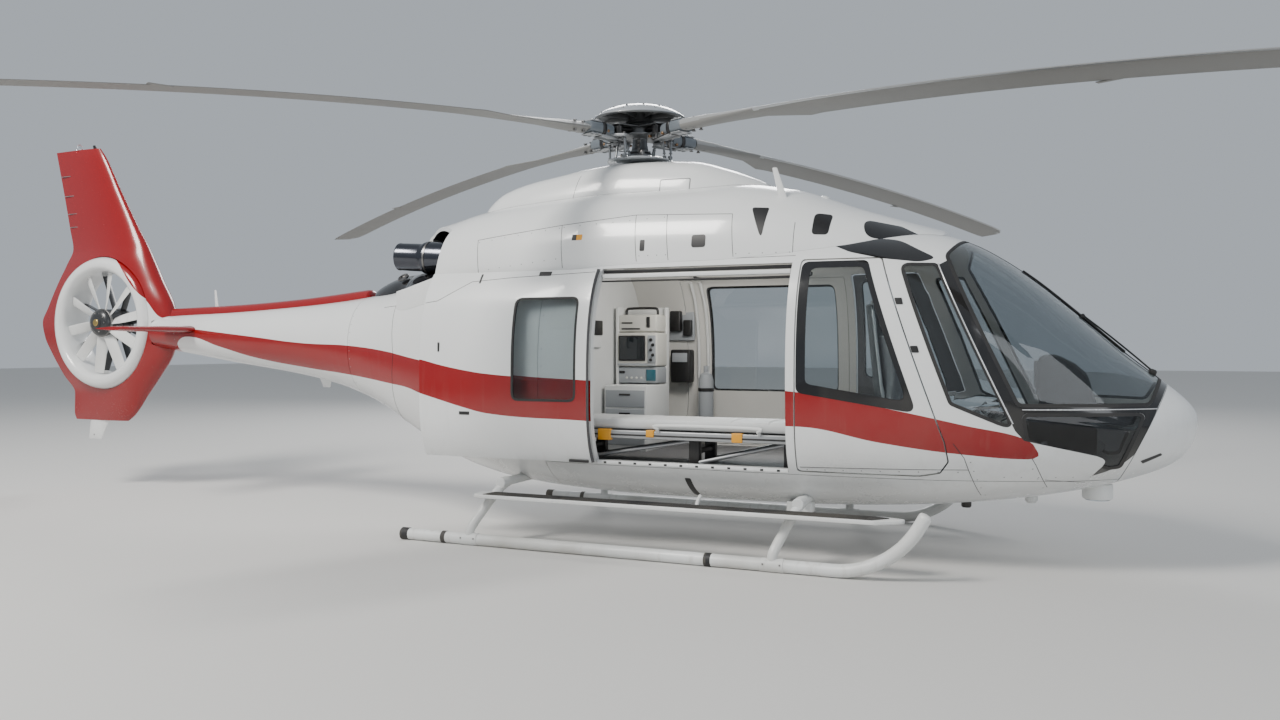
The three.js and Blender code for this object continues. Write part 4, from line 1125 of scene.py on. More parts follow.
# %% Tail fan, stator and bumper
fan_dark = plain("fan_housing", (.035, .037, .04), rough=.32, metal=.4, bump=.15, scale=80, coat=.3)
fan_white = paint("fan_white", (.74, .75, .74), rough=.3, dust=.35, low=1.0, high=3.2, coat=.3)
brass = plain("brass_cap", (.52, .38, .14), rough=.35, metal=1.0, bump=.1)


def lens(points_across, half):
    """A thin two-sided section across a chord, in chord and height."""
    t = np.linspace(0, 2 * math.pi, points_across, endpoint=False)
    return np.cos(t), np.sin(t) * half


def fan_blade():
    rings = []
    for r, o, y, half in ((.125, .034, .036, .01), (.18, .04, .034, .009), (.25, .046, .028, .0075),
            (.34, .049, .023, .0065), (.43, .05, .019, .0055), (.512, .05, .0155, .0045),
            (.519, .046, .014, .0035)):
        c, h = lens(20, half)
        length = math.hypot(o, y)
        ux, uy = o / length, y / length
        rings.append([(DUCT[0] + r, -.085 + uy * length * k - ux * g, DUCT[2] + ux * length * k + uy * g)
            for k, g in zip(c, h)])
    return shade(make("part", *rings_to_mesh(rings)))


first = fan_blade()
first.data.transform(about(DUCT, "Y", -math.degrees(.16)))
blades = around("fan_blades", first, 10, ACROSS, DUCT, fan_white)
finish_piece(blades, fan_white, body="tail_rotor")

hub = lathe("tail_fan_hub", [(.001, -.185), (.07, -.185), (.1, -.176), (.128, -.158), (.139, -.135),
    (.141, -.105), (.141, .022), (.136, .027), (.03, .027)], DUCT, ACROSS, 64)
hub = combine(hub, [lathe("tool", [(.027, -.075), (.027, .2)], DUCT, ACROSS, 32)])
band = turned([(.139, -.13), (.1455, -.126), (.1455, -.104), (.139, -.1)], DUCT, ACROSS, 64)
cap = turned([(.036, -.18), (.036, -.195), (.03, -.201), (.012, -.203), (.002, -.203)], DUCT, ACROSS, 32)
plate = turned([(.06, -.18), (.06, -.19), (.056, -.192), (.034, -.192)], DUCT, ACROSS, 48)
bolt = lathe("part", [(.0075, -.165), (.0075, -.179), (.005, -.181), (.001, -.181)],
    (DUCT[0] + .098, 0, DUCT[2]), ACROSS, 6)
bolts = around("part", shade(bolt), 10, ACROSS, DUCT, steel)
shade(hub)
piece("tail_fan_hub", [(hub, 0), (band, 1), (cap, 2), (plate, 0), (bolts, 1)], [fan_dark, steel, brass],
    "tail_fan", body="tail_rotor")

# %% Stator
strut = []
for r in (.12, .6):
    c, h = lens(20, .0085)
    strut.append([(DUCT[0] + r, .095 + .042 * k, DUCT[2] + .004 * k + g) for k, g in zip(c, h)])
strut = make("part", *rings_to_mesh(strut))
strut.data.transform(about(DUCT, "Y", 22.5))
struts = around("part", shade(strut), 8, ACROSS, DUCT, fan_dark)
house = turned([(.03, .032), (.138, .033), (.143, .04), (.147, .09), (.146, .14), (.136, .158),
    (.11, .178), (.07, .186), (.002, .186)], DUCT, ACROSS, 64)
flange = turned([(.146, .1), (.156, .103), (.156, .113), (.146, .116)], DUCT, ACROSS, 64)
bolt = lathe("part", [(.006, .095), (.006, .121), (.004, .123), (.001, .123)],
    (DUCT[0] + .1505, 0, DUCT[2]), ACROSS, 6)
bolts = around("part", bolt, 16, ACROSS, DUCT, steel)
pin = turned([(.025, -.07), (.025, .06)], DUCT, ACROSS, 32)
shaft = bar([(DUCT[0] + .12, .1, DUCT[2] + .012), (DUCT[0] + .6, .1, DUCT[2] + .045)], .028, 24)
piece("stator_housing", [(struts, 0), (house, 0), (flange, 1), (bolts, 1), (pin, 1), (shaft, 0)],
    [fan_dark, steel], "stator")

# %% Tail bumper
rings = []
for z, a, b, h in ((.5, -6.316, -6.134, .007), (.508, -6.319, -6.128, .011), (.56, -6.312, -6.1, .016),
        (.63, -6.301, -6.055, .022), (.699, -6.29, -6.01, .028)):
    c, g = lens(32, h)
    rings.append([((a + b) / 2 + (b - a) / 2 * k, q, z) for k, q in zip(c, g)])
bumper = shade(make("tail_bumper_skin", *rings_to_mesh(rings)), angle=50)
dots = [turned([(.008, -.016), (.008, .016)], (x, 0, z), ACROSS, 16)
    for x, z in ((-6.215, .64), (-6.225, .545))]
piece("tail_bumper_skin", [(bumper, 0)] + [(d, 1) for d in dots], [white_paint, steel], "tail_bumper")
print("tail ready")

# %% [markdown]
# Landing gear. The skids are bent tubes with black caps and wear bands. The arched cross tubes
# pass under the belly, and a long step hangs from them on each side.

# %% Skids, cross tubes and steps
SKID_Y, SKID_R = 1.15, .043
grip_black = plain("step_grip", (.02, .02, .021), rough=.75, bump=.8, scale=420, dust=.35, low=0, high=.8)
skid_dark = plain("skid_rubber", (.018, .018, .019), rough=.6, bump=.4, scale=160, dust=.5, low=0, high=.4)


def skid_path(side):
    y = side * SKID_Y
    path = [(x, y, SKID_R) for x in np.linspace(-1.46, 1.8, 12)]
    for a in np.linspace(0, 1.05, 20):
        path.append((1.85 + .62 * math.sin(a), y, SKID_R + .62 * (1 - math.cos(a))))
    last = path[-1]
    return path + [(last[0] + .09 * math.cos(1.05), y, last[2] + .09 * math.sin(1.05))]


def sleeve(x0, x1, y, radius):
    """A band round the skid, its underside level with the tube's so that it can't touch down."""
    made = lathe("part", [(radius - .003, 0), (radius, .003), (radius, x1 - x0 - .003),
        (radius - .003, x1 - x0)], (x0, y, SKID_R), (1, 0, 0), 36)
    return shade(combine(made, [block("tool", x0 - 1, x1 + 1, y - 1, y + 1, -1, .002)]))


for word, side in SIDES:
    y = side * SKID_Y
    path = skid_path(side)
    tip = Vector(path[-1])
    way = (tip - Vector(path[-2])).normalized()
    path = path[:-1] + [tip - way * s for s in (.03, .02, .012, .005, .001)]
    radii = [SKID_R] * (len(path) - 4) + [.0425, .04, .034, .024]
    body = bar(path, radii, 36)
    parts = [(body, 0)]
    parts += [(sleeve(-1.475, -1.405, y, .0465), 1), (sleeve(-1.11, -1.07, y, .0455), 1),
        (sleeve(.98, 1.03, y, .0455), 1), (sleeve(-.945, -.795, y, .0475), 0),
        (sleeve(1.375, 1.53, y, .0475), 0)]
    for x in (-.925, -.815, 1.395, 1.51):
        parts.append((turned([(.006, .044), (.006, .051), (.004, .053), (.001, .053)], (x, y, SKID_R),
            (0, side, .25), 12), 2))
    piece(f"skid_{word}_tube", parts, [skid_paint, skid_dark, steel], f"skid_{word}")

# %% Cross tubes
for word, arch in (("front", FRONT_ARCH), ("rear", REAR_ARCH)):
    parts = [bar(arch, .034, 32)]
    mid = len(arch) // 2
    for i in (mid - 5, mid + 5):
        p, q = Vector(arch[i]), Vector(arch[i + 1])
        parts.append(turned([(.036, -.055), (.041, -.05), (.041, .05), (.036, .055)], p, q - p, 32))
    if word == "front":
        parts += [brick(1.42, 1.6, y0, y0 + .1, .325, .4, .012) for y0 in (-.72, .62)]
    piece(f"cross_tube_{word}_bar", parts, skid_paint, f"cross_tube_{word}")


# %% Steps
def slab(outline, z0, z1, edge):
    """A flat plate drawn in plan, with rounded edges."""
    return shade(chamfer(plan_prism("part", outline, z0, z1), edge))


for word, side in SIDES:
    plan = [(-.85, 1.04), (-.845, 1.01), (-.76, .992), (2.14, .992), (2.27, 1.03), (2.288, 1.06),
        (2.27, 1.085), (2.12, 1.188), (-.78, 1.188), (-.84, 1.15)]
    tread = [(-.74, 1.012), (2.09, 1.012), (2.18, 1.04), (2.19, 1.06), (2.1, 1.168), (-.76, 1.168)]
    plan = soften([(x, side * y) for x, y in plan], .03)
    tread = soften([(x, side * y) for x, y in tread], .02)
    parts = [(slab(plan, .354, .381, .006), 0), (slab(tread, .37, .3835, .001), 1)]
    for k in range(7):
        y = side * (1.03 + .02 * k)
        parts.append((brick(-.72, 2.06, y - .003, y + .003, .38, .3855, .001), 1))
    for x in (-.757, 1.545):
        y0, y1 = sorted((side * .9, side * 1.02))
        arm = chamfer(block("part", x - .045, x + .045, y0, y1, .33, .366), .006)
        arch = REAR_ARCH if x < 0 else FRONT_ARCH
        parts.append((shade(combine(arm, [tube("tool", arch, .035)])), 0))
    parts.append((bent([(.861, side * .915, .43), (.862, side * .965, .405), (.864, side * 1.0, .37)],
        .013, 20), 0))
    piece(f"step_{word}_board", parts, [skid_paint, grip_black], f"step_{word}")
print("gear ready")

# %% [markdown]
# Rotor head. A dished cap covers a star of plates. From it four thick sleeves reach out to the
# blade roots. Under them sit forged horns, rubber dampers and the thin rods that set the pitch,
# and the rods stand on the swash plate. One arm is built along X and copied three times.

# %% Rotor head
AZIMUTH, PLANE = -26.0, 3.17
sleeve_blue = plain("sleeve_paint", (.13, .15, .17), rough=.38, bump=.15, scale=70, coat=.2, low=2.6,
    high=3.4)
horn_grey = plain("forged_horn", (.36, .37, .38), rough=.45, metal=.55, bump=.35, scale=120, low=2.6,
    high=3.4)
link_grey = plain("link_metal", (.2, .21, .22), rough=.35, metal=.8, bump=.1)
bronze = plain("bronze_bush", (.26, .16, .09), rough=.45, metal=.8, bump=.2)
cap_grey = plain("cap_paint", (.3, .32, .34), rough=.2, bump=.06, scale=30, coat=.5, low=2.6, high=3.4)
ARM_LOOKS = [sleeve_blue, horn_grey, black_satin, link_grey, bronze, steel]


def bolt_at(x, y, z0, z1, r, head=.006):
    """A bolt on end with a hexagon at the top and a nut below."""
    shank = lathe("part", [(r, z0), (r, z1)], (x, y, 0), UP, 20)
    top = lathe("part", [(r * 1.7, z1 - head * .2), (r * 1.7, z1 + head * .8), (r * 1.2, z1 + head),
        (.001, z1 + head)], (x, y, 0), UP, 6)
    nut = lathe("part", [(.001, z0 - head), (r * 1.2, z0 - head), (r * 1.7, z0 - head * .8),
        (r * 1.7, z0 + head * .2)], (x, y, 0), UP, 6)
    return merge("part", [shade(shank), shade(top), shade(nut)])


def oval_bar(rows):
    """A bar along X. Each row: station, centre y, centre z, half width, half height, squareness."""
    rings, count = [], 28
    for x, y, z, w, h, n in rows:
        t = np.arange(count) * 2 * math.pi / count
        c, s = np.cos(t), np.sin(t)
        rings.append(np.column_stack([np.full(count, x), y + w * np.sign(c) * np.abs(c) ** (2 / n),
            z + h * np.sign(s) * np.abs(s) ** (2 / n)]))
    return shade(make("part", *rings_to_mesh(rings)))


def damper(x, y, z0, z1):
    """Rubber and metal discs in turn."""
    profile, z = [(.001, z0)], z0
    while z < z1 - .004:
        profile += [(.034, z), (.034, z + .006), (.03, z + .0065), (.03, z + .009)]
        z += .0095
    profile += [(.034, z1), (.001, z1)]
    return shade(lathe("part", profile, (x, y, 0), UP, 28), angle=50)


def rod(a, b, r, ends=.014):
    """A link rod with round eyes, lock nuts and a slightly thicker waist."""
    a, b = Vector(a), Vector(b)
    n = (b - a).normalized()
    long = (b - a).length
    profile = [(r * .75, ends), (r * .75, ends * 2), (r * 1.5, ends * 2), (r * 1.5, ends * 2 + .008),
        (r, ends * 2 + .009), (r, long - ends * 2 - .009), (r * 1.5, long - ends * 2 - .008),
        (r * 1.5, long - ends * 2), (r * .75, long - ends * 2), (r * .75, long - ends)]
    parts = [turned(profile, a, n, 20)]
    for p in (a, b):
        parts.append(turned([(ends * .55, -.01), (ends, -.008), (ends, .008), (ends * .55, .01)], p,
            ACROSS, 24))
        parts.append(turned([(ends * .4, -.016), (ends * .4, .016)], p, ACROSS, 12))
    return merge("part", parts)


# %% One arm, and three copies of it
def rotor_arm():
    parts = []
    sleeve_rows = [(.3, 0, 3.168, .04, .03, 3), (.315, 0, 3.168, .062, .043, 3),
        (.36, 0, 3.169, .07, .048, 3), (.43, 0, 3.17, .074, .05, 3), (.5, 0, 3.17, .076, .048, 3.4),
        (.545, 0, 3.17, .078, .044, 4), (.5585, 0, 3.17, .072, .04, 4)]
    parts.append((oval_bar(sleeve_rows), 0))
    parts.append((oval_bar([(.398, 0, 3.1695, .0765, .0535, 3), (.402, 0, 3.1695, .079, .056, 3),
        (.428, 0, 3.17, .08, .056, 3), (.432, 0, 3.17, .078, .054, 3)]), 2))
    # the bundle that bends, between the hub plates and the sleeve
    parts.append((oval_bar([(.12, 0, 3.195, .048, .016, 5), (.22, 0, 3.192, .044, .015, 5),
        (.31, 0, 3.184, .036, .018, 4), (.33, 0, 3.18, .03, .018, 4)]), 2))
    # forged fork below, light grey, with its ribs
    fork = prism("part", soften([(.185, 3.118), (.3, 3.108), (.392, 3.118), (.455, 3.128), (.455, 3.14),
        (.3, 3.142), (.185, 3.142)], .008), -.052, .052)
    parts.append((shade(chamfer(fork, .005)), 1))
    for y in (-.046, .046):
        parts.append((brick(.19, .43, y - .006, y + .006, 3.1, 3.146, .003), 1))
    # pitch horn on the trailing side, out to the link
    horn = slab(soften([(.205, .04), (.33, .04), (.3, .09), (.272, .128), (.238, .13), (.226, .096)],
        .012), 3.118, 3.14, .004)
    parts.append((horn, 1))
    parts.append((bolt_at(.252, .108, 3.112, 3.148, .008), 5))
    for x, y in ((.262, -.056), (.262, .056)):
        parts.append((damper(x, y, 3.146, 3.205), 2))
        parts.append((bolt_at(x, y, 3.108, 3.216, .008), 5))
    for x, y in ((.475, -.047), (.475, .047), (.52, -.047), (.52, .047)):
        parts.append((bolt_at(x, y, 3.118, 3.219, .011, .009), 3))
    lug = slab(soften([(.44, -.07), (.545, -.07), (.552, 0), (.545, .07), (.44, .07)], .012), 3.212, 3.22,
        .003)
    parts.append((lug, 1))
    parts.append((copy_of(lug, Matrix.Translation((0, 0, -.098))), 1))
    for x, y, z in ((.345, -.06, 3.132), (.38, .064, 3.15), (.2, -.066, 3.128)):
        parts.append((turned([(.006, -.012), (.011, -.009), (.011, .009), (.006, .012)], (x, y, z),
            ACROSS, 20), 4))
    parts.append((rod((.252, .11, 3.128), (.246, .112, 2.972), .0095), 3))
    parts.append((rod((.212, .062, 3.116), (.192, .096, 2.985), .0085, .012), 3))
    parts.append((brick(.232, .262, .094, .104, 2.952, 2.985, .003), 3))
    parts.append((bent([(.19, -.03, 3.12), (.26, -.085, 3.09), (.35, -.08, 3.105), (.43, -.06, 3.125)],
        .004, 10), 2))
    return merge("part", parts)


arm = rotor_arm()
arms = join("rotor_arms", [copy_of(arm, about(ORIGIN, "Z", AZIMUTH + 90 * k)) for k in range(4)])
drop(arm)
finish_piece(arms, ARM_LOOKS, body="main_rotor")

# %% Mast, hub plates and scissor links
mast = turned([(.03, 2.5), (.098, 2.501), (.098, 2.96), (.092, 2.975), (.088, 2.995), (.092, 3.002),
    (.092, 3.012), (.084, 3.016), (.084, 3.028), (.088, 3.032), (.088, 3.04), (.074, 3.046), (.066, 3.06),
    (.062, 3.09), (.058, 3.12), (.06, 3.145), (.07, 3.16), (.03, 3.162)], ORIGIN, UP, 64)
rings = [turned([(r - .004, z), (r, z + .002), (r, z + .008), (r - .004, z + .01)], ORIGIN, UP, 64)
    for r, z in ((.093, 3.017), (.091, 2.983))]
plate = turned([(.09, 2.944), (.235, 2.946), (.262, 2.95), (.266, 2.956), (.262, 2.963), (.215, 2.976),
    (.16, 2.987), (.12, 2.992), (.09, 2.993)], ORIGIN, UP, 72)
core = turned([(.03, 3.14), (.14, 3.142), (.178, 3.148), (.186, 3.156), (.186, 3.163), (.12, 3.17),
    (.11, 3.18), (.11, 3.225), (.12, 3.234), (.15, 3.24), (.12, 3.25), (.1, 3.266), (.03, 3.266)], ORIGIN,
    UP, 64)
star = []
for k in range(4):
    for z in (3.1495, 3.2165):
        tip = slab(soften([(.06, -.1), (.2, -.086), (.285, -.08), (.3, -.04), (.3, .04), (.285, .08),
            (.2, .086), (.06, .1)], .02), z - .0045 if z < 3.2 else z, z + .0045 if z < 3.2 else z + .012,
            .003)
        tip.data.transform(about(ORIGIN, "Z", AZIMUTH + 90 * k))
        star.append((tip, 2))
balls = []
for angle, r in ((-60, .022), (-150, .013)):
    a = math.radians(angle)
    balls.append(turned([(.01, 2.965), (.01, 2.985), (r * .8, 2.988), (r, 2.996 + r * .4),
        (r * .7, 3.0 + r * 1.2), (.002, 3.004 + r * 1.4)], (.15 * math.cos(a), .15 * math.sin(a), 0), UP,
        24))
scissor = [rod((.13, .0, 2.995), (.175, .0, 3.065), .007, .012), rod((.175, .0, 3.065), (.085, .0, 3.12),
    .007, .012)]
for part in scissor:
    part.data.transform(about(ORIGIN, "Z", -70))
head = piece("rotor_mast", [(mast, 0), (plate, 1), (core, 2)] + [(r, 3) for r in rings] + star + [(b, 4)
    for b in balls] + [(s, 4) for s in scissor], [link_grey, cap_grey, metal_and_cap_shade, black_satin, steel],
    "rotor_head", body="main_rotor")

# %% Cap of the hub
dish = lathe("part", [(.001, 3.43), (.08, 3.4275), (.15, 3.418), (.22, 3.401), (.28, 3.379), (.33, 3.353),
    (.36, 3.332), (.37, 3.32), (.3695, 3.312), (.362, 3.305), (.352, 3.306), (.32, 3.322), (.26, 3.35),
    (.16, 3.374), (.06, 3.384), (.001, 3.384)], ORIGIN, UP, 96)
# faces of the dish that look down are marked for the darker metal: painted shade under the cap
under = np.array([p.normal.z < -.05 for p in dish.data.polygons], dtype=np.int32)
stem = turned([(.11, 3.284), (.12, 3.29), (.09, 3.33), (.085, 3.3875), (.03, 3.3875)], ORIGIN, UP, 48)
bolt = lathe("part", [(.009, 3.378), (.009, 3.392), (.006, 3.395), (.001, 3.395)], (.255, 0, 0), UP, 6)
bolts = around("part", bolt, 12, UP, ORIGIN, steel)
ribs = brick(.09, .335, -.004, .004, 3.318, 3.36, .002)
ribs = around("part", ribs, 8, UP, ORIGIN, metal_and_cap_shade)
shade(dish, angle=50)
cap = merge("hub_cap_dish", [(dish, 0), (stem, 1), (bolts, 2), (ribs, 1)])
# the marked underside takes the darker metal, as painted shade
for i in np.nonzero(under)[0]:
    cap.data.polygons[int(i)].material_index = 1
cap.data.transform(Matrix.Translation((0, 0, -.02)))
finish_piece(cap, [cap_grey, metal_and_cap_shade, steel], "hub_cap", body="main_rotor")
print("rotor head triangles:", sum(len(p.vertices) - 2 for o in (arms, head, cap)
    for p in o.data.polygons))

# %% [markdown]
# Blades. The wing section has a round nose and a thin tail. Towards the root it thickens into
# a plain spar, and the trailing edge starts at a sharp corner. The blades droop with the square
# of the radius, as loaded blades at rest do.

# %% Main rotor blades
BLADE = np.array([
    # radius, leading edge, trailing edge, half thickness
    (.5603, -.08, .08, .044), (.76, -.082, .084, .04), (1.0, -.078, .092, .028), (1.3, -.084, .112, .021),
    (1.6, -.088, .24, .017), (1.7, -.09, .225, .015), (2.7, -.09, .225, .014), (3.9, -.09, .225, .012),
    (5.1, -.09, .225, .01), (5.26, -.078, .223, .008), (5.35, -.02, .212, .005),
])
RADIUS, DROOP, PITCH = 5.35, .42, math.radians(6)
blade_top = plain("blade_top", (.27, .275, .275), rough=.42, bump=.1, scale=40, low=2.4, high=3.6)
# the underside colour is the blade's grey darkened: painted shade under the blades
blade_under = plain("blade_underside", (.2, .198, .19), rough=.5, bump=.1, scale=40, low=2.4, high=3.6)
blade_strip = plain("blade_strip", (.42, .43, .44), rough=.3, metal=.7, bump=.05, low=2.4, high=3.6)


def blade_ring(r):
    lead, tail, half = (float(np.interp(r, BLADE[:, 0], BLADE[:, k])) for k in (1, 2, 3))
    y, h = wing_section(lead, tail, half, 44)
    z = PLANE - DROOP * (r / RADIUS) ** 2
    return np.column_stack([np.full(len(y), r), y * math.cos(PITCH) + h * math.sin(PITCH),
        z + h * math.cos(PITCH) - y * math.sin(PITCH)])


def blade_z(r, y, lift):
    """Height on the blade at a radius and chord place, for small parts that sit on it."""
    return PLANE - DROOP * (r / RADIUS) ** 2 - y * math.sin(PITCH) + lift


# %% Four blades
radii = np.unique(np.concatenate([BLADE[:, 0], np.linspace(.56 + .0003, 1.6, 20),
    np.linspace(1.7, 5.1, 36), np.linspace(5.1, 5.35, 9)]))
for k in range(4):
    blade = make(f"main_blade_{k + 1}_skin", *rings_to_mesh([blade_ring(r) for r in radii]))
    up = np.array([p.normal.z for p in blade.data.polygons])
    mid = np.array([p.center for p in blade.data.polygons])
    lead = np.interp(mid[:, 0] - MAST, BLADE[:, 0], BLADE[:, 1])
    # faces that look down take the darker underside colour, painted shade; the strip along the leading
    # edge is the blade's own
    worn = np.where(up > 0, 0, 1)
    worn = np.where((mid[:, 1] < lead + .014) & (mid[:, 0] - MAST > 1.35), 2, worn)
    blade.data.polygons.foreach_set("material_index", worn.astype(np.int32))
    shade(blade, angle=50)
    parts = []
    for r, y in ((.6, -.034), (.6, .034), (.68, -.034), (.68, .034)):
        parts.append((bolt_at(r, y, blade_z(r, y, -.038), blade_z(r, y, .038), .01, .007), 3))
    tab = brick(3.66, 3.8, .215, .252, blade_z(3.73, .23, -.004), blade_z(3.73, .23, .001), .001)
    weight = shade(oval_bar([(5.285, .01, blade_z(5.3, 0, 0), .03, .007, 3),
        (5.345, .01, blade_z(5.345, 0, 0), .026, .005, 3)]))
    extra = merge("part", parts + [(tab, 1), (weight, 2)])
    blade = join(blade.name, [blade, extra])
    blade.data.transform(about(ORIGIN, "Z", AZIMUTH + 90 * k))
    finish_piece(blade, [blade_top, blade_under, blade_strip, steel], f"main_blade_{k + 1}",
        body="main_rotor")
print("blades ready")

# %% [markdown]
# Nose. Glossy black runs round the windscreen and the chin windows and ends in a point under
# the nose. Each black field is a thin plate cut from the hull's own form, a millimetre proud,
# with the windows cut out of it again. A white tongue closes the lower corner of the chin window.

# %% Black surround, centre strip and wipers
BLACK_FIELD = [(2.9, 1.13), (2.925, .945), (2.975, .885), (3.39, .785), (3.43, .765), (3.44, .745),
    (3.42, .715), (3.36, .648), (3.43, .672), (3.52, .712), (3.605, .79), (3.685, .955), (3.748, 1.1),
    (3.868, 1.35), (3.8, 1.4), (2.88, 1.4)]
POST_FIELD = [(2.925, .945), (2.438, 2.0), (2.5, 2.04), (2.975, 1.09)]
TONGUE = [(2.935, .935), (2.975, .885), (3.3, .808), (3.39, .785), (3.425, .768), (3.438, .747),
    (3.42, .715), (3.36, .652), (3.2, .7), (2.95, .8)]
chrome = plain("bright_trim", (.7, .71, .72), rough=.25, metal=.6, bump=.03)
lamp_white = plain("lamp_housing", (.74, .75, .74), rough=.35, bump=.05, coat=.2)
lamp_glass = glass("lamp_lens", (.85, .88, .9), rough=.08)


def patch(name, form, span, outline, side, depth, proud=.001, deep=.006, cuts=()):
    """A thin plate that lies on a hull, inside an outline seen from the side."""
    x0, x1 = span
    made = combine(loft(name, form, x0, x1, proud), [loft("tool", form, x0 - .1, x1 + .05, -deep)])
    made = combine(made, [side_tool(outline, side, depth)], "INTERSECT")
    if cuts:
        made = combine(made, [side_tool(outline, side, near) for outline, near in cuts])
    return shade(made, form)


def on_side(form, side, points, lift=0.0, step=.03):
    """A path on the hull through points seen from the side."""
    out = []
    for (x0, z0), (x1, z1) in zip(points, points[1:]):
        n = max(int(math.hypot(x1 - x0, z1 - z0) / step), 1)
        for t in np.linspace(0, 1, n, endpoint=False):
            out.append((x0 + (x1 - x0) * t, z0 + (z1 - z0) * t))
    out.append(points[-1])
    return [(x, side * form.side(x, z, lift), z) for x, z in out]


# %% The black fields and their trim
for word, side in SIDES:
    screen_hole, chin_hole = soften(inset(SCREEN, -.002), .06), soften(inset(CHIN, -.002), .045)
    field = patch(f"nose_black_{word}", skin, (2.8, 3.88), BLACK_FIELD, side, 0.0,
        cuts=[(screen_hole, .03), (chin_hole, .03)])
    finish_piece(field, black_gloss)
    post = patch(f"post_black_{word}", skin, (2.35, 3.05), POST_FIELD, side, .2, .0012,
        cuts=[(QUARTER_SHAPE, .4), (screen_hole, .03)])
    finish_piece(post, black_gloss)
    tongue = patch(f"nose_tongue_{word}", skin, (2.85, 3.5), soften(TONGUE, .02), side, .1, .0024, .01)
    finish_piece(tongue, body_paint)
    trim = [bar(on_side(skin, side, [(2.912, .99), (2.44, 2.01)], .002), .005, 12),
        bar(on_side(skin, side, [(2.965, 1.078), (3.735, 1.078)], .001), .0035, 12)]
    piece(f"windscreen_trim_{word}", trim, chrome)

# a black plate over the white centre strip between the panes: painted shade for the dark line it shows
# edge-on
strip = combine(loft("centre_strip", skin, 2.5, 3.88, .0015), [loft("tool", skin, 2.4, 3.93, -.006)])
strip = combine(strip,
    [prism("tool", [(2.56, 2.7), (2.8, 2.0), (3.3, 1.4), (3.8, 1.3), (3.9, 1.5), (3.2, 2.7)], -.034,
    .034)], "INTERSECT")
finish_piece(shade(strip, skin), black_gloss)


# %% Wipers
def over_top(points, lift):
    """A path above the hull through points of the plan."""
    return [(x, y, skin.top(x, abs(y)) + h + lift) for x, y, h in points]


parts = []
for side in (-1, 1):
    arm = smooth_path(over_top([(3.72, side * .07, .018), (3.6, side * .074, .03),
        (3.44, side * .082, .03), (3.3, side * .09, .02)], 0), 8)
    blade = over_top([(x, side * (.06 + .03 * t), .007) for t, x in zip(np.linspace(0, 1, 24),
        np.linspace(3.56, 2.92, 24))], 0)
    base = (3.72, side * .07, skin.top(3.72, .07) - .01)
    parts += [bar(arm, .0055, 12), bar(blade, .0065, 12),
        turned([(.02, 0), (.024, .006), (.024, .026), (.016, .036), (.002, .038)], base, (.3, 0, .95), 24)]
    x, y, z = arm[-1]
    parts.append(turned([(.004, -.012), (.014, -.01), (.014, .012), (.004, .014)], (x, y, z - .004),
        ACROSS, 16))
piece("wipers", parts, black_satin)

# %% Lamps under the belly
lamp = turned([(.03, .65), (.06, .56), (.094, .54), (.098, .53), (.098, .452), (.092, .44), (.08, .436)],
    (3.39, 0, 0), UP, 56)
face = turned([(.08, .437), (.078, .43), (.04, .424), (.002, .422)], (3.39, 0, 0), UP, 56)
small = turned([(.03, .46), (.042, .44), (.044, .405), (.03, .385), (.002, .38)], (2.97, 0, 0), UP, 40)
dark = turned([(.03, .4), (.035, .392), (.035, .352), (.028, .342), (.002, .34)], (2.547, -.1, 0), UP, 36)
piece("belly_lamps", [(lamp, 0), (face, 1), (small, 0), (dark, 2)], [lamp_white, lamp_glass, black_satin])
print("nose ready")

# %% [markdown]
# Cabin. Behind the glass and the open door everything is in view, so the cabin is fitted out:
# a pale rear wall, a floor, the rack with its monitors, and the long deck behind the doorway.

# %% Cabin walls, rack and deck
cabin_white = plain("cabin_white", (.68, .69, .68), rough=.55, bump=.2, scale=180)
unit_cream = plain("monitor_case", (.6, .59, .54), rough=.5, bump=.12, scale=240)
unit_grey = plain("unit_grey", (.33, .35, .37), rough=.5, bump=.12, scale=240)
screen_dark = plain("dark_screen", (.008, .012, .016), rough=.12, bump=.0, coat=.6)
screen_teal = plain("teal_screen", (.015, .11, .15), rough=.2, bump=.0, coat=.5)
deck_grey = plain("deck_rail", (.4, .41, .42), rough=.38, metal=.6, bump=.1)
lock_yellow = plain("lock_yellow", (.75, .33, .01), rough=.45, bump=.1)
trim_grey = plain("trim_grey", (.2, .205, .21), rough=.6, bump=.3, scale=240)

wall = loft("rear_wall_panel", skin, -.394, -.38, -.047)
wall = combine(wall, [block("tool", -.5, -.3, -1, 1, .3, FLOOR_Z + .003)])
finish_piece(shade(wall), cabin_white)
floor_mat = combine(loft("cabin_floor_mat", skin, -.378, 2.95, -.05),
    [block("tool", -1, 4, -1.5, 1.5, FLOOR_Z + .0045, 3), block("tool", -1, 4, -1.5, 1.5, 0,
    FLOOR_Z + .0005)])
finish_piece(shade(floor_mat), floor_grip)

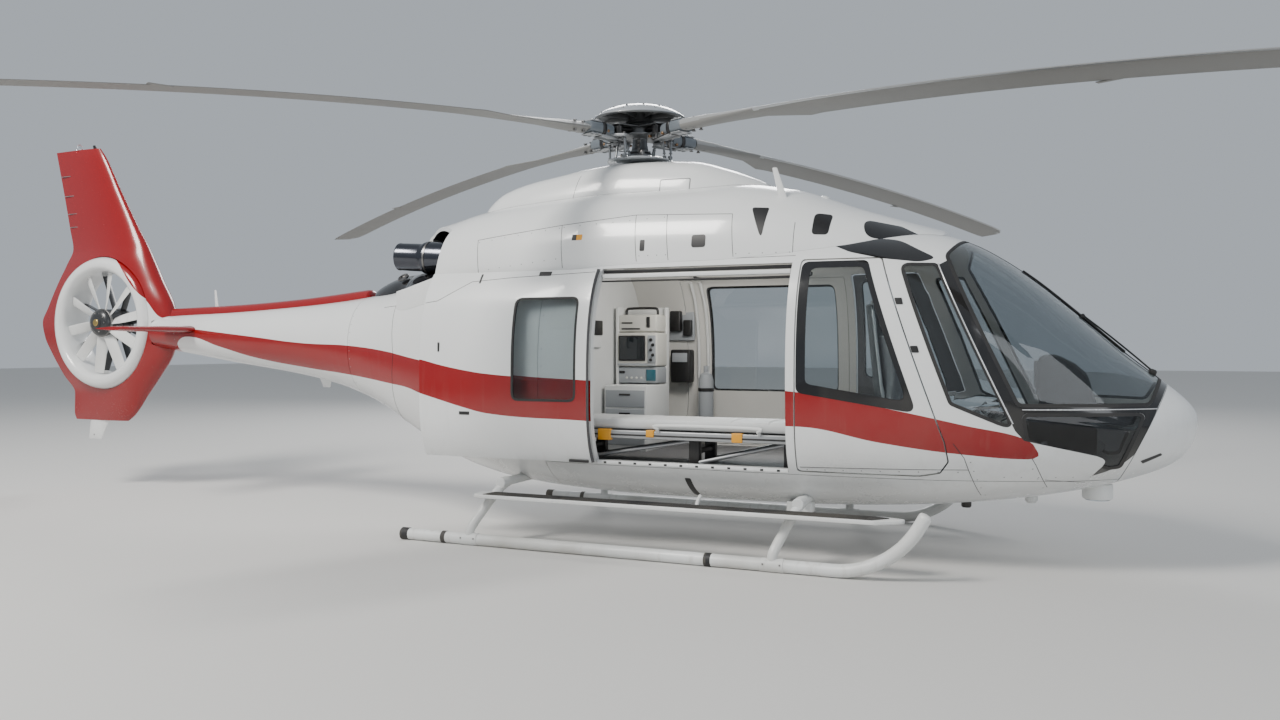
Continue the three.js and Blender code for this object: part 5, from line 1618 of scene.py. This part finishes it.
# %% Rack and monitors
parts = bricks([(-.35, .03, .06, .56, .6105, 1.15, .01, 0), (-.35, -.325, .285, .56, 1.14, 1.8, .006, 0),
    (-.346, .026, .535, .558, 1.14, 1.798, .006, 0), (.006, .03, .5, .56, 1.14, 1.8, .006, 0)])
for k in range(3):
    z = .66 + .155 * k
    parts += bricks([(-.335, .015, .052, .062, z, z + .14, .006, 1), (-.21, -.11, .046, .056, z + .096,
        z + .112, .004, 3)])
parts += bricks([(-.33, .02, .3, .53, 1.59, 1.735, .016, 2), (-.345, .028, .285, .53, 1.3, 1.585, .018,
    2), (-.34, .026, .295, .53, 1.16, 1.295, .012, 1)])
parts += bricks([(-.07, -.04, .292, .302, 1.625, 1.715, .004, 3), (-.3, -.13, .294, .302, 1.61, 1.622,
    .002, 3), (-.3, -.2, .294, .302, 1.66, 1.672, .002, 3), (-.32, -.075, .272, .29, 1.345, 1.56, .01, 3),
    (-.308, -.087, .268, .275, 1.358, 1.548, .004, 4), (-.055, .018, .278, .29, 1.33, 1.56, .006, 1),
    (-.33, .016, .276, .29, 1.306, 1.326, .004, 1), (-.07, .015, .286, .298, 1.18, 1.275, .004, 5),
    (-.32, -.27, .288, .298, 1.24, 1.262, .003, 3)])
for k in range(5):
    knob = turned([(.013, 0), (.013, .012), (.01, .018), (.002, .019)],
        (-.022 + .018 * (k % 2), .279, 1.355 + .042 * k), (0, -1, 0), 20)
    parts.append((knob, 3))
for k in range(4):
    knob = turned([(.009, 0), (.009, .01), (.002, .012)], (-.25 + .045 * k, .296, 1.205), (0, -1, 0), 18)
    parts.append((knob, 2))
parts.append((bent([(-.3, .4, 1.73), (-.295, .4, 1.775), (-.26, .4, 1.79), (-.05, .4, 1.79),
    (-.015, .4, 1.775), (-.01, .4, 1.73)], .011, 16), 3))
piece("rack_and_monitors", parts, [cabin_white, unit_grey, unit_cream, black_satin, screen_dark,
    screen_teal], "medical_rack")

# %% Fittings on the walls and ceiling
parts = bricks([(-.372, -.35, -.15, .02, 1.46, 1.94, .006, 0), (-.372, -.345, -.48, -.2, 1.7, 1.9, .006,
    1), (-.352, -.338, -.45, -.34, 1.735, 1.76, .003, 1), (-.372, -.335, -.14, .01, 1.56, 1.68, .008, 1),
    (-.372, -.33, -.56, -.53, .8, 1.85, .008, 0)])
for y, z0, z1 in ((.64, 1.32, 1.72), (.7, 1.42, 1.76)):
    parts.append((brick(-.372, -.315, y - .022, y + .022, z0, z1, .01), 1))
for x in (.16, .245):
    line = [(x, skin.side(x, z, -.06), z) for z in np.linspace(.65, 2.02, 12)]
    parts.append((bar(line, .014, 14), 0))
parts.append((bent([(.24, .6, 2.08), (.26, .6, 2.05), (.4, .6, 2.04), (1.1, .6, 2.04), (1.24, .6, 2.05),
    (1.26, .6, 2.08)], .012, 16), 1))
for y in (-.62, -.1, .42):
    top = skin.top(.7, abs(y), -.052)
    parts.append((brick(-.36, 1.7, y - .03, y + .03, top - .03, top - .002, .008), 0))
for y in (-.36, .16):
    top = skin.top(.7, abs(y), -.052)
    parts += bricks([(.4, .56, y - .04, y + .04, top - .022, top, .008, 1),
        (.43, .53, y - .025, y + .025, top - .026, top - .018, .004, 2)])
# on the left wall behind the rack: outlets, a suction unit and a gas bottle in its clips
parts += bricks([(-.11, .13, .895, .925, 1.52, 1.9, .008, 3), (-.08, .02, .83, .9, 1.6, 1.78, .012, 1),
    (.04, .115, .85, .9, 1.56, 1.7, .008, 1), (-.06, .125, .8, .915, 1.15, 1.44, .016, 1),
    (-.04, .1, .792, .804, 1.33, 1.41, .004, 3)])
for k in range(3):
    outlet = turned([(.018, 0), (.018, .014), (.01, .02), (.002, .021)], (-.06 + .075 * k, .897, 1.85),
        (0, -1, 0), 20)
    parts.append((outlet, 1))
bottle = turned([(.03, .66), (.06, .67), (.064, .7), (.064, 1.18), (.05, 1.225), (.022, 1.245),
    (.022, 1.3), (.002, 1.302)], (.29, .76, 0), UP, 36)
parts.append((bottle, 3))
for z in (.8, 1.08):
    clip = turned([(.066, z), (.069, z + .003), (.069, z + .027), (.066, z + .03)], (.29, .76, 0), UP, 36)
    parts.append((clip, 1))
piece("cabin_fittings", parts, [cabin_white, black_satin, lamp_white, unit_grey])

# %% Rails of the doorway
rail_y = skin.side(.8, 2.035, -.012)
sill_y = skin.side(.8, .64, -.01)
parts = bricks([(.06, 1.48, -rail_y - .002, -rail_y + .03, 2.005, 2.03, .004, 1),
    (.06, 1.48, -rail_y - .03, -rail_y + .02, 1.968, 1.998, .005, 0),
    (.06, 1.48, -rail_y - .036, -rail_y - .004, 1.94, 1.952, .003, 1),
    (.055, 1.485, -sill_y, -sill_y + .075, .6155, .645, .005, 0),
    (.055, 1.485, -sill_y + .08, -sill_y + .1, .6155, .628, .002, 1)])
for k in range(12):
    x = .12 + .118 * k
    parts.append((brick(x - .011, x + .011, -sill_y - .0015, -sill_y + .01, .622, .638, .001), 1))
piece("doorway_rails", parts, [white_paint, black_satin])

# %% Deck
parts = bricks([(-.28, 1.64, -.83, -.79, .8, .86, .008, 0), (-.28, 1.64, -.35, -.31, .8, .86, .008, 0),
    (-.27, 1.63, -.788, -.352, .815, .858, .004, 1), (-.279, -.24, -.828, -.312, .8, .8595, .01, 0),
    (1.6, 1.639, -.828, -.312, .8, .8595, .01, 0), (-.26, 1.62, -.836, -.826, .822, .834, .003, 1)])
for x0, x1 in ((-.2, -.1), (.7, .8), (1.4, 1.5)):
    for y0, y1 in ((-.75, -.69), (-.42, -.36)):
        parts += bricks([(x0 + .01, x1 - .01, y0, y1, .6105, .812, .008, 1),
            (x0, x1, y0, y1, .6105, .626, .003, 0)])
    parts.append((brick(x0 + .02, x1 - .02, -.7, -.41, .7, .735, .008), 1))
for x0, x1, z0 in ((.028, .134, .786), (.412, .475, .815), (1.06, 1.14, .8)):
    parts.append((brick(x0, x1, -.8375, -.8, z0, .867, .006), 2))
for x0, x1 in ((-.16, .72), (.78, 1.42)):
    parts += [(bar([(x0, -.735, .64), (x1, -.735, .79)], .014, 20), 0),
        (bar([(x0, -.385, .64), (x1, -.385, .79)], .014, 20), 0)]
parts.append((bent([(.5, -.815, .85), (.505, -.842, .88), (.54, -.845, .902), (1.22, -.845, .902),
    (1.255, -.842, .88), (1.26, -.815, .85)], .013, 20), 3))
piece("patient_deck_frame", parts, [deck_grey, black_satin, lock_yellow, cabin_white], "patient_deck")
print("cabin ready")

# %% [markdown]
# Soft parts. Foam under cloth can't be drawn with straight lines. Each pad starts as a slightly
# small block. Its mesh is made even, and a cloth simulation with air pressure inside swells it
# for twenty frames, without gravity. A cap keeps every point near its start, the underside stays
# flat where it rests, and the sewn channels are pressed in afterwards.

# %% Seats and mattress
seat_cloth = plain("seat_cloth", (.2, .205, .215), rough=.85, bump=.3, scale=420)
pad_vinyl = plain("pad_vinyl", (.6, .61, .61), rough=.55, bump=.35, scale=300)
seat_shell = plain("seat_shell", (.075, .078, .082), rough=.6, bump=.3, scale=260)
seat_frame = plain("seat_frame", (.55, .56, .57), rough=.35, metal=.5, bump=.06)


def points_of(obj):
    flat = np.zeros(len(obj.data.vertices) * 3)
    obj.data.vertices.foreach_get("co", flat)
    return flat.reshape(-1, 3)


def stuffed(obj, voxel, cap, low=None):
    """Swells a block like foam under cloth, then smooths it by one subdivision."""
    even = obj.modifiers.new("even", "REMESH")
    even.mode, even.voxel_size = "VOXEL", voxel
    bake(obj)
    before = points_of(obj)
    cloth = obj.modifiers.new("cloth", "CLOTH")
    cloth.settings.use_pressure = True
    cloth.settings.uniform_pressure_force = 4.0
    cloth.settings.effector_weights.gravity = 0.0
    cloth.point_cache.frame_start, cloth.point_cache.frame_end = 1, 20
    for number in range(1, 21):
        bpy.context.scene.frame_set(number)
    bake(obj)
    bpy.context.scene.frame_set(1)
    move = points_of(obj) - before
    far = np.linalg.norm(move, axis=1, keepdims=True)
    after = before + move * np.minimum(1, cap / np.maximum(far, 1e-9))
    print("  swelled by up to %.1f mm" % (1000 * min(far.max(), cap)))
    if low is not None:
        after[:, 2] = np.maximum(after[:, 2], low)
    obj.data.vertices.foreach_set("co", after.ravel())
    obj.data.update()
    smooth = obj.modifiers.new("smooth", "SUBSURF")
    smooth.levels, smooth.render_levels = 1, 1
    return bake(obj)


def press_in(obj, way, seams, width=.007, depth=.007):
    """Sewn channels: points near a seam sink in. A seam is an axis, its place, and a from and to
    along the other axis given."""
    co = points_of(obj)
    nor = np.array([v.normal for v in obj.data.vertices])
    facing = np.clip(nor @ np.array(way), 0, 1)
    sink = np.zeros(len(co))
    for axis, place, other, low, high in seams:
        near = np.exp(-((co[:, axis] - place) / width) ** 2)
        after = 1 / (1 + np.exp(-(co[:, other] - low) / .006))
        sink = np.maximum(sink, near * (after / (1 + np.exp((co[:, other] - high) / .006))))
    co = co - nor * (sink * facing * depth)[:, None]
    obj.data.vertices.foreach_set("co", co.ravel())
    obj.data.update()
    return obj


# %% Seats
def seat_pads():
    """The right seat's cushion and back pad, about the seat's own middle line."""
    c = -SEAT_Y
    base = chamfer(block("seat_cushion", 2.15, 2.625, c - .212, c + .212, .9055, .993), .022)
    base = stuffed(base, .01, .013, .901)
    x = MAST
    base = press_in(base, UP, [(1, c - .125, 0, 2.2 + x, 2.6 + x), (1, c + .125, 0, 2.2 + x, 2.6 + x),
        (0, 2.46 + x, 1, c - .125, c + .125), (0, 2.32 + x, 1, c - .125, c + .125)])
    outline = [(2.1, 1.022), (2.176, 1.03), (2.118, 1.56), (2.03, 1.56)]
    back = chamfer(prism("seat_back", outline, c - .202, c + .202), .022)
    back = stuffed(back, .01, .012)
    back = press_in(back, (1, 0, .1), [(1, c - .115, 2, 1.08, 1.52), (1, c + .115, 2, 1.08, 1.52),
        (2, 1.19, 1, c - .115, c + .115), (2, 1.34, 1, c - .115, c + .115)])
    outline = [(2.028, 1.585), (2.108, 1.59), (2.086, 1.772), (2.016, 1.772)]
    rest = chamfer(prism("seat_rest", outline, c - .13, c + .13), .022)
    rest = stuffed(rest, .01, .008)
    return base, back, rest


base, back, rest = seat_pads()
for word, side in SIDES:
    c = side * SEAT_Y
    over = Matrix.Translation((0, c + SEAT_Y, 0))
    for made, pad, fill in (("cushion", base, .7), ("back_pad", back, .7), ("headrest", rest, .8)):
        obj = copy_of(pad, over)
        obj.name = f"front_seat_{made}_{word}_cloth"
        shade(obj, angle=80)
        names = [] if pad is rest else [f"front_seat_{made}_{word}"]
        finish_piece(obj, seat_cloth, *names)
    shell_outline = [(2.036, .885), (2.104, .885), (2.085, 1.01), (2.004, 1.755), (1.955, 1.755)]
    parts = [(shade(chamfer(prism("part", shell_outline, c - .228, c + .228), .016)), 0),
        (brick(2.092, 2.638, c - .238, c + .238, .78, .899, .022), 0),
        (brick(2.16, 2.54, c - .17, c + .17, .64, .785, .012), 0),
        (brick(2.13, 2.56, c - .19, c - .15, .6105, .645, .006), 1),
        (brick(2.13, 2.56, c + .15, c + .19, .6105, .645, .006), 1)]
    for y in (c - .228, c + .228):
        parts.append((bent([(2.1, y, .905), (2.085, y, 1.02), (2.03, y, 1.5), (2.016, y, 1.64),
            (1.996, y + (c - y) * .12, 1.74), (1.986, y + (c - y) * .45, 1.774), (1.984, c, 1.78)], .011,
            16), 1))
    for y in (c - .075, c + .075):
        parts.append((brick(2.006, 2.02, y - .018, y + .018, 1.56, 1.61, .004), 1))
    piece(f"front_seat_{word}_shell", parts, [seat_shell, seat_frame], f"front_seat_{word}")
for pad in (base, back, rest):
    drop(pad)

# %% Mattress
pad = chamfer(block("mattress_pad", -.23, 1.59, -.795, -.345, .8655, .94), .02)
pad = stuffed(pad, .014, .009, .8608)
pad = press_in(pad, UP, [(0, x + MAST, 1, -.78, -.36) for x in (.08, .4, .72, 1.04, 1.32)], width=.01,
    depth=.008)
shade(pad, angle=80)
finish_piece(pad, pad_vinyl, "patient_mattress")
print("pads ready")

# %% [markdown]
# Cockpit: the panel under its hood with dark displays towards the seats, the console between
# the seats, sticks and pedals, and behind the cabin the engine and gearbox under their cowling.

# %% Cockpit and engine
hood = [(3.012, 1.165), (3.06, 1.03), (3.395, .99), (3.385, 1.06), (3.322, 1.275), (3.24, 1.35),
    (3.112, 1.416), (3.03, 1.408)]
desk = [(2.805, .6105), (3.375, .6105), (3.392, .99), (3.052, 1.072), (2.965, .962)]
parts = [(shade(chamfer(prism("part", hood, -.322, .322), .03, 5)), 0),
    (shade(chamfer(prism("part", desk, -.135, .135), .014)), 0)]


def tilted(y0, y1, z0, z1, deep, edge=.004):
    """A brick let into the face of the panel, towards the seats."""
    return brick(3.012 - deep, 3.02, y0, y1, z0, z1, edge)


for y0, y1 in ((-.29, -.105), (-.09, .09), (.105, .29)):
    parts += [(tilted(y0, y1, 1.195, 1.375, .01), 0),
        (tilted(y0 + .012, y1 - .012, 1.21, 1.36, .013, .002), 1)]
for k in range(8):
    y = -.29 + .083 * k
    knob = turned([(.008, 0), (.008, .014), (.002, .015)], (3.03, y, 1.175), (-1, 0, 0), 14)
    parts.append((knob, 2))
for k in range(5):
    parts.append((brick(2.86 + .03 * k, 2.88 + .03 * k, -.1, .1, .8 + .05 * k, .83 + .05 * k, .004), 2))
panel = merge("instrument_hood", parts)
hood_black = plain("hood_black", (.006, .006, .007), rough=.95, dust=0, bump=0)
finish_piece(panel, [hood_black, screen_dark, trim_grey], "instrument_panel")

# %% Controls, and the finish of the engine
parts = []
for c in (-SEAT_Y, SEAT_Y):
    grip = [(2.738, c, .995), (2.742, c, 1.03), (2.745, c, 1.1), (2.752, c, 1.125)]
    parts += [(bent([(2.78, c, .615), (2.79, c, .78), (2.73, c, .9), (2.74, c, 1.02)], .011, 16), 0),
        (bent(grip, .02, 20), 0)]
    parts.append((bent([(2.28, c + .25, .65), (2.5, c + .25, .74), (2.68, c + .25, .86)], .014, 16), 0))
    for y in (c - .09, c + .09):
        parts += [(bent([(3.08, y, .64), (3.1, y, .74), (3.07, y, .8)], .01, 14), 1),
            (brick(3.05, 3.085, y - .055, y + .055, .77, .84, .008), 1)]
piece("sticks_and_pedals", parts, [black_satin, deck_grey])
for label, looks in (("engine_block", steel), ("gearbox_block", alloy)):
    for obj in bpy.data.objects:
        if obj.name.split(".")[0] == label and obj.type == "MESH":
            obj.data.materials.clear()
            obj.data.materials.append(looks)
            print("finish given to", obj.name)
print("cockpit ready")

# %% [markdown]
# Small surface parts. The skylight, the intakes, the latches and the plates are patches of the
# hull's own form, so they bend with it. Seams are thin dark threads laid on the skin, and a
# second Geometry Nodes tool sows fasteners along them, each turned to stand off the surface.

# %% Skylight, intakes, plates and seams
def oblong(x0, x1, z0, z1):
    """The corners of a rectangle seen from the side, from the top left."""
    return [(x0, z1), (x1, z1), (x1, z0), (x0, z0)]


SKYLIGHT = [(1.711, 2.173), (1.803, 2.201), (1.966, 2.212), (2.169, 2.189), (2.313, 2.11), (2.426, 2.051),
    (2.327, 2.024), (2.072, 2.056), (1.866, 2.106)]
PLATES = [
    # name, hull, length of hull, outline seen from the side, corner, how proud, look
    ("skylight", skin, (1.6, 2.6), SKYLIGHT, .3, .001, "gloss"),
    ("intake_front", cowl, (1.75, 2.3), [(1.905, 2.352), (1.945, 2.215), (2.19, 2.175), (2.365, 2.185),
        (2.15, 2.3)], .12, .0012, "gloss"),
    ("intake_round", cowl, (1.45, 1.85), [(1.59, 2.4), (1.71, 2.385), (1.7, 2.235), (1.59, 2.24)], .03,
        .0012, "dark"),
    ("intake_wedge", cowl, (1.0, 1.4), [(1.15, 2.455), (1.275, 2.448), (1.245, 2.215)], .015, .0012,
        "dark"),
    ("blank_plate_rim", fairing, (.2, .7), oblong(.342, .586, 2.633, 2.739), .015, .0015, "grey"),
    ("blank_plate", fairing, (.2, .7), oblong(.35, .578, 2.641, 2.731), .01, .0028, "white"),
    ("filler_cap", cowl, (.6, 1.0), oblong(.735, .84, 2.176, 2.267), .02, .003, "dark"),
    ("slot_a", cowl, (.2, .5), oblong(.332, .37, 2.164, 2.247), .01, .0012, "dark"),
    ("rescue_mark", cowl, (-.4, 0), oblong(-.234, -.148, 2.267, 2.31), .006, .0012, "yellow"),
    ("rescue_mark_dark", cowl, (-.4, 0), oblong(-.234, -.196, 2.267, 2.31), .002, .0022, "dark"),
    ("latch_plate", skin, (-.6, -.2), [(-.49, 2.066), (-.357, 2.062), (-.357, 2.016), (-.49, 2.018)],
        .008, .003, "dark"),
    ("belly_vent", skin, (.6, .9), oblong(.715, .76, .39, .54), .01, .0012, "dark"),
    ("hinge_plate_high", skin, (2.1, 2.4), [(2.192, 1.785), (2.238, 1.785), (2.25, 1.742),
        (2.206, 1.742)], .006, .004, "dark"),
    ("hinge_plate_low", skin, (2.2, 2.5), [(2.3, 1.475), (2.346, 1.475), (2.358, 1.432), (2.314, 1.432)],
        .006, .004, "dark"),
    ("sensor_plate", skin, (3.5, 3.9), [(3.64, .745), (3.76, .795), (3.77, .78), (3.655, .725)], .006,
        .0015, "dark"),
]
FACES = {"gloss": black_gloss, "dark": black_satin, "yellow": lock_yellow, "grey": trim_grey,
    "white": white_paint}
for label, form, span, outline, corner, proud, look in PLATES:
    for word, side in SIDES:
        plate = patch(f"{label}_{word}", form, span, soften(outline, corner), side, .05, proud)
        finish_piece(plate, FACES[look])

# %% Plates of the open door
# on the open right door the plates stand where the leaf stands
DOOR_PLATES = [
    ("door_slot", (.4, .6), oblong(.508, .524, 1.95, 2.022), .004, .0015, "dark"),
    ("door_latch_plate", (1.0, 1.2), [(1.018, 2.028), (1.12, 2.026), (1.12, 1.994), (1.018, 1.996)], .006,
        .003, "dark"),
]
for label, span, outline, corner, proud, look in DOOR_PLATES:
    plate = patch(label, skin, span, soften(outline, corner), -1, .05, proud)
    plate.data.transform(Matrix.Translation((*SLIDE_MOVE["right"], 0)))
    finish_piece(plate, FACES[look])

# %% Seams
SEAMS = [
    (skin, [(1.573, .666), (2.64, .688)]), (skin, [(2.56, .86), (2.622, .768), (2.694, .499)]),
    (skin, [(3.003, .8), (3.039, .728), (3.094, .566)]), (skin, [(3.086, .622), (3.318, .6)]),
    (skin, [(-2.2, 1.8), (-1.47, 1.843), (-1.07, 1.975), (-.32, 2.046), (.05, 2.078), (1.5, 2.092)]),
    (skin, [(-2.05, 1.93), (-1.98, 1.4), (-2.06, .8)]), (cowl, [(-1.11, 2.31), (-1.06, 2.01)]),
    (cowl, [(-.34, 2.39), (-.3, 2.06)]), (cowl, [(.27, 2.44), (.31, 2.09)]),
    (cowl, [(.52, 2.43), (.56, 2.09)]),
    (cowl, [(-1.11, 2.31), (-.34, 2.39), (.27, 2.44), (.52, 2.43), (1.02, 2.41)]),
    (cowl, [(1.02, 2.41), (1.05, 2.1)]), (cowl, [(1.47, 2.33), (1.47, 2.11)]),
    (fairing, [(-.42, 2.48), (-.36, 2.82)]),
]
ROWS = [
    (cowl, [(-1.07, 2.06), (-.36, 2.13)], .09), (cowl, [(.33, 2.13), (.54, 2.13)], .07),
    (cowl, [(-1.09, 2.29), (-.36, 2.368)], .12), (cowl, [(-.32, 2.374), (.5, 2.412)], .12),
    (cowl, [(1.07, 2.12), (1.45, 2.12)], .08), (skin, [(-1.4, 1.9), (-.35, 2.075)], .14),
    (skin, [(1.62, .65), (2.58, .67)], .12), (skin, [(2.66, .74), (2.72, .5)], .06),
    (skin, [(3.02, .7), (3.07, .56)], .05), (skin, [(-2.58, 1.5), (-2.575, 1.15)], .07),
    (skin, [(-2.58, 1.52), (-2.585, 1.8)], .07), (skin, [(-.37, 1.95), (-.37, .7)], .12),
    (skin, [(-4.88, 1.7), (-4.88, 1.48)], .05), (skin, [(2.85, .64), (3.35, .64)], .1),
]
threads, spots, away = [], [], []
for side in (-1, 1):
    for form, points in SEAMS:
        threads.append(bar(on_side(form, side, points, -.0006), .0022, 8))
    for form, points, step in ROWS:
        row = on_side(form, side, points, 0.0, step)
        spots += row
        away += [tuple(v) for v in form.normal(np.array(row))]
line = on_side(skin, -1, [(1.48, 2.013), (.796, 1.988), (.445, 1.964), (.172, 1.82), (.062, 1.805)],
    -.0006)
line = [(x + SLIDE_MOVE["right"][0], y + SLIDE_MOVE["right"][1], z) for x, y, z in line]
threads.append(bar(line, .0022, 8))
piece("panel_seams", threads, rubber)


# %% Fasteners
def build_sower():
    """Copies of a part on every point of a mesh, turned to the vector kept with the point."""
    group, a, b, keys, part = copies_group("copies_on_points",
        (("Geometry", "Geometry"), ("Part", "Object"), ("Size", "Float"), ("Material", "Material")))
    named = node(group, "GeometryNodeInputNamedAttribute", {"Name": "out"}, data_type="FLOAT_VECTOR")
    turn = node(group, "FunctionNodeAlignRotationToVector", {"Vector": named.outputs[0]}, axis="Z")
    sown = node(group, "GeometryNodeInstanceOnPoints", {"Points": a.outputs["Geometry"], "Instance": part,
        "Rotation": turn.outputs[0], "Scale": a.outputs["Size"]})
    hand_out(group, a, b, sown.outputs[0])
    return group, keys


sower, sower_keys = build_sower()
stud = lathe("part", [(.0042, -.001), (.0042, .0003), (.0034, .0009), (.0008, .001)], ORIGIN, UP, 8)
stud.data.transform(Matrix.Translation((-MAST, 0, 0)))
studs = make("fasteners", spots, [])
kept = studs.data.attributes.new("out", "FLOAT_VECTOR", "POINT")
kept.data.foreach_set("vector", np.array(away).ravel())
use_copies(studs, sower, sower_keys, stud, Size=1.0, Material=trim_grey)
finish_piece(studs, trim_grey)
print("fasteners:", len(spots))

# %% [markdown]
# The last small things: blade aerials, the lamps on the roof and on top of the fin, tabs on the
# fin's rear edge, and the handles of the sliding doors.

# %% Aerials, fin tabs and handles
def blade_aerial(x0, x1, y, z0, z1, lean, half=.008):
    """A flat swept mast with an oval section."""
    rings = []
    for t in (0, .15, .5, .85, .97, 1):
        c, h = lens(20, half * (1 - .55 * t))
        wide = (x1 - x0) / 2 * (1 - .45 * t) * (1 if t < 1 else .8)
        rings.append([((x0 + x1) / 2 + lean * t + wide * k, y + g, z0 + (z1 - z0) * t)
            for k, g in zip(c, h)])
    return shade(make("part", *rings_to_mesh(rings)))


parts = [(blade_aerial(1.31, 1.375, -.5, 2.5, 2.75, -.07), 0),
    (blade_aerial(-4.56, -4.515, .0, 1.85, 2.02, -.02, .006), 0),
    (blade_aerial(-3.27, -3.12, .0, 1.19, 1.088, .015, .01), 0),
    (turned([(.045, 2.48), (.045, 2.54), (.036, 2.558), (.018, 2.568), (.001, 2.57)], (1.56, -.2, 0), UP,
    32), 0),
    (turned([(.03, 3.5), (.034, 3.535), (.034, 3.545), (.022, 3.548), (.022, 3.58), (.012, 3.592),
    (.001, 3.594)], (-6.46, 0, 0), UP, 28), 1), (blade_aerial(-6.25, -6.18, .0, 3.51, 3.57, -.03, .006),
    2)]
piece("aerials", parts, [white_paint, lamp_glass, black_satin])

parts = []
for side in (-1, 1):
    for z in (3.26, 3.05, 2.86, 2.72):
        rear = float(np.interp(z, FIN[:, 0], FIN[:, 2]))
        parts.append(brick(rear + .03, rear + .17, side * .02 - .012, side * .02 + .012, z, z + .005,
            .001))
piece("fin_tabs", parts, trim_grey)

for word, side in SIDES:
    shift, out = SLIDE_MOVE[word]
    y = side * (skin.side(1.4, .645) - out + .006)
    grip = [brick(x0 + shift, x1 + shift, *sorted((y, y + side * deep)), z0, z1, edge)
        for x0, x1, deep, z0, z1, edge in ((1.315, 1.475, .012, .63, .652, .005),
        (1.33, 1.352, -.012, .633, .649, .002), (1.44, 1.462, -.012, .633, .649, .002))]
    for x0, x1, z0, z1 in ((.22, .234, 1.43, 1.5), (.415, .505, .955, .98)):
        y = side * (skin.side(x0, z0) - out)
        grip.append(brick(x0 + shift, x1 + shift, y - .004, y + .004, z0, z1, .002))
    piece(f"sliding_door_handle_{word}", grip, black_satin)
print("small parts ready")

# %% [markdown]
# Studio. A plain pale floor runs out of sight, and wide soft lights stand in for an open sky.

# %% Floor and lights
mat, tree, bsdf = new_material("studio_floor")
bsdf.inputs["Base Color"].default_value = (.62, .61, .59, 1)
bsdf.inputs["Roughness"].default_value = .85
floor = make("studio_floor", [(-60, -60, -.001), (60, -60, -.001), (60, 60, -.001), (-60, 60, -.001)],
    [(0, 1, 2, 3)])
floor.data.materials.append(mat)

world = bpy.data.worlds.new("studio")
bpy.context.scene.world = world
world.use_nodes = True
sky = world.node_tree.nodes["Background"]
sky.inputs["Color"].default_value = (.8, .87, .95, 1)
sky.inputs["Strength"].default_value = .55


def area_light(name, where, at, size, power, colour=(1, 1, 1)):
    lamp = bpy.data.lights.new(name, "AREA")
    lamp.energy, lamp.size, lamp.color = power, size, colour
    obj = bpy.data.objects.new(name, lamp)
    bpy.context.collection.objects.link(obj)
    obj.location = where
    obj.rotation_euler = (Vector(at) - Vector(where)).to_track_quat("-Z", "Y").to_euler()
    return obj


area_light("key", (-5, -11, 13), (0, 0, 1.2), 5, 3000, (1, .97, .92))
area_light("fill", (14, -8, 6), (1, 0, 1.5), 8, 500, (.93, .96, 1))
area_light("cabin", (.75 + MAST, -.25, 2.1), (.35 + MAST, .6, 1.0), .5, 16, (1, .97, .93))
area_light("back", (-4, 14, 9), (0, 0, 1.5), 6, 1300)
print("lights ready")
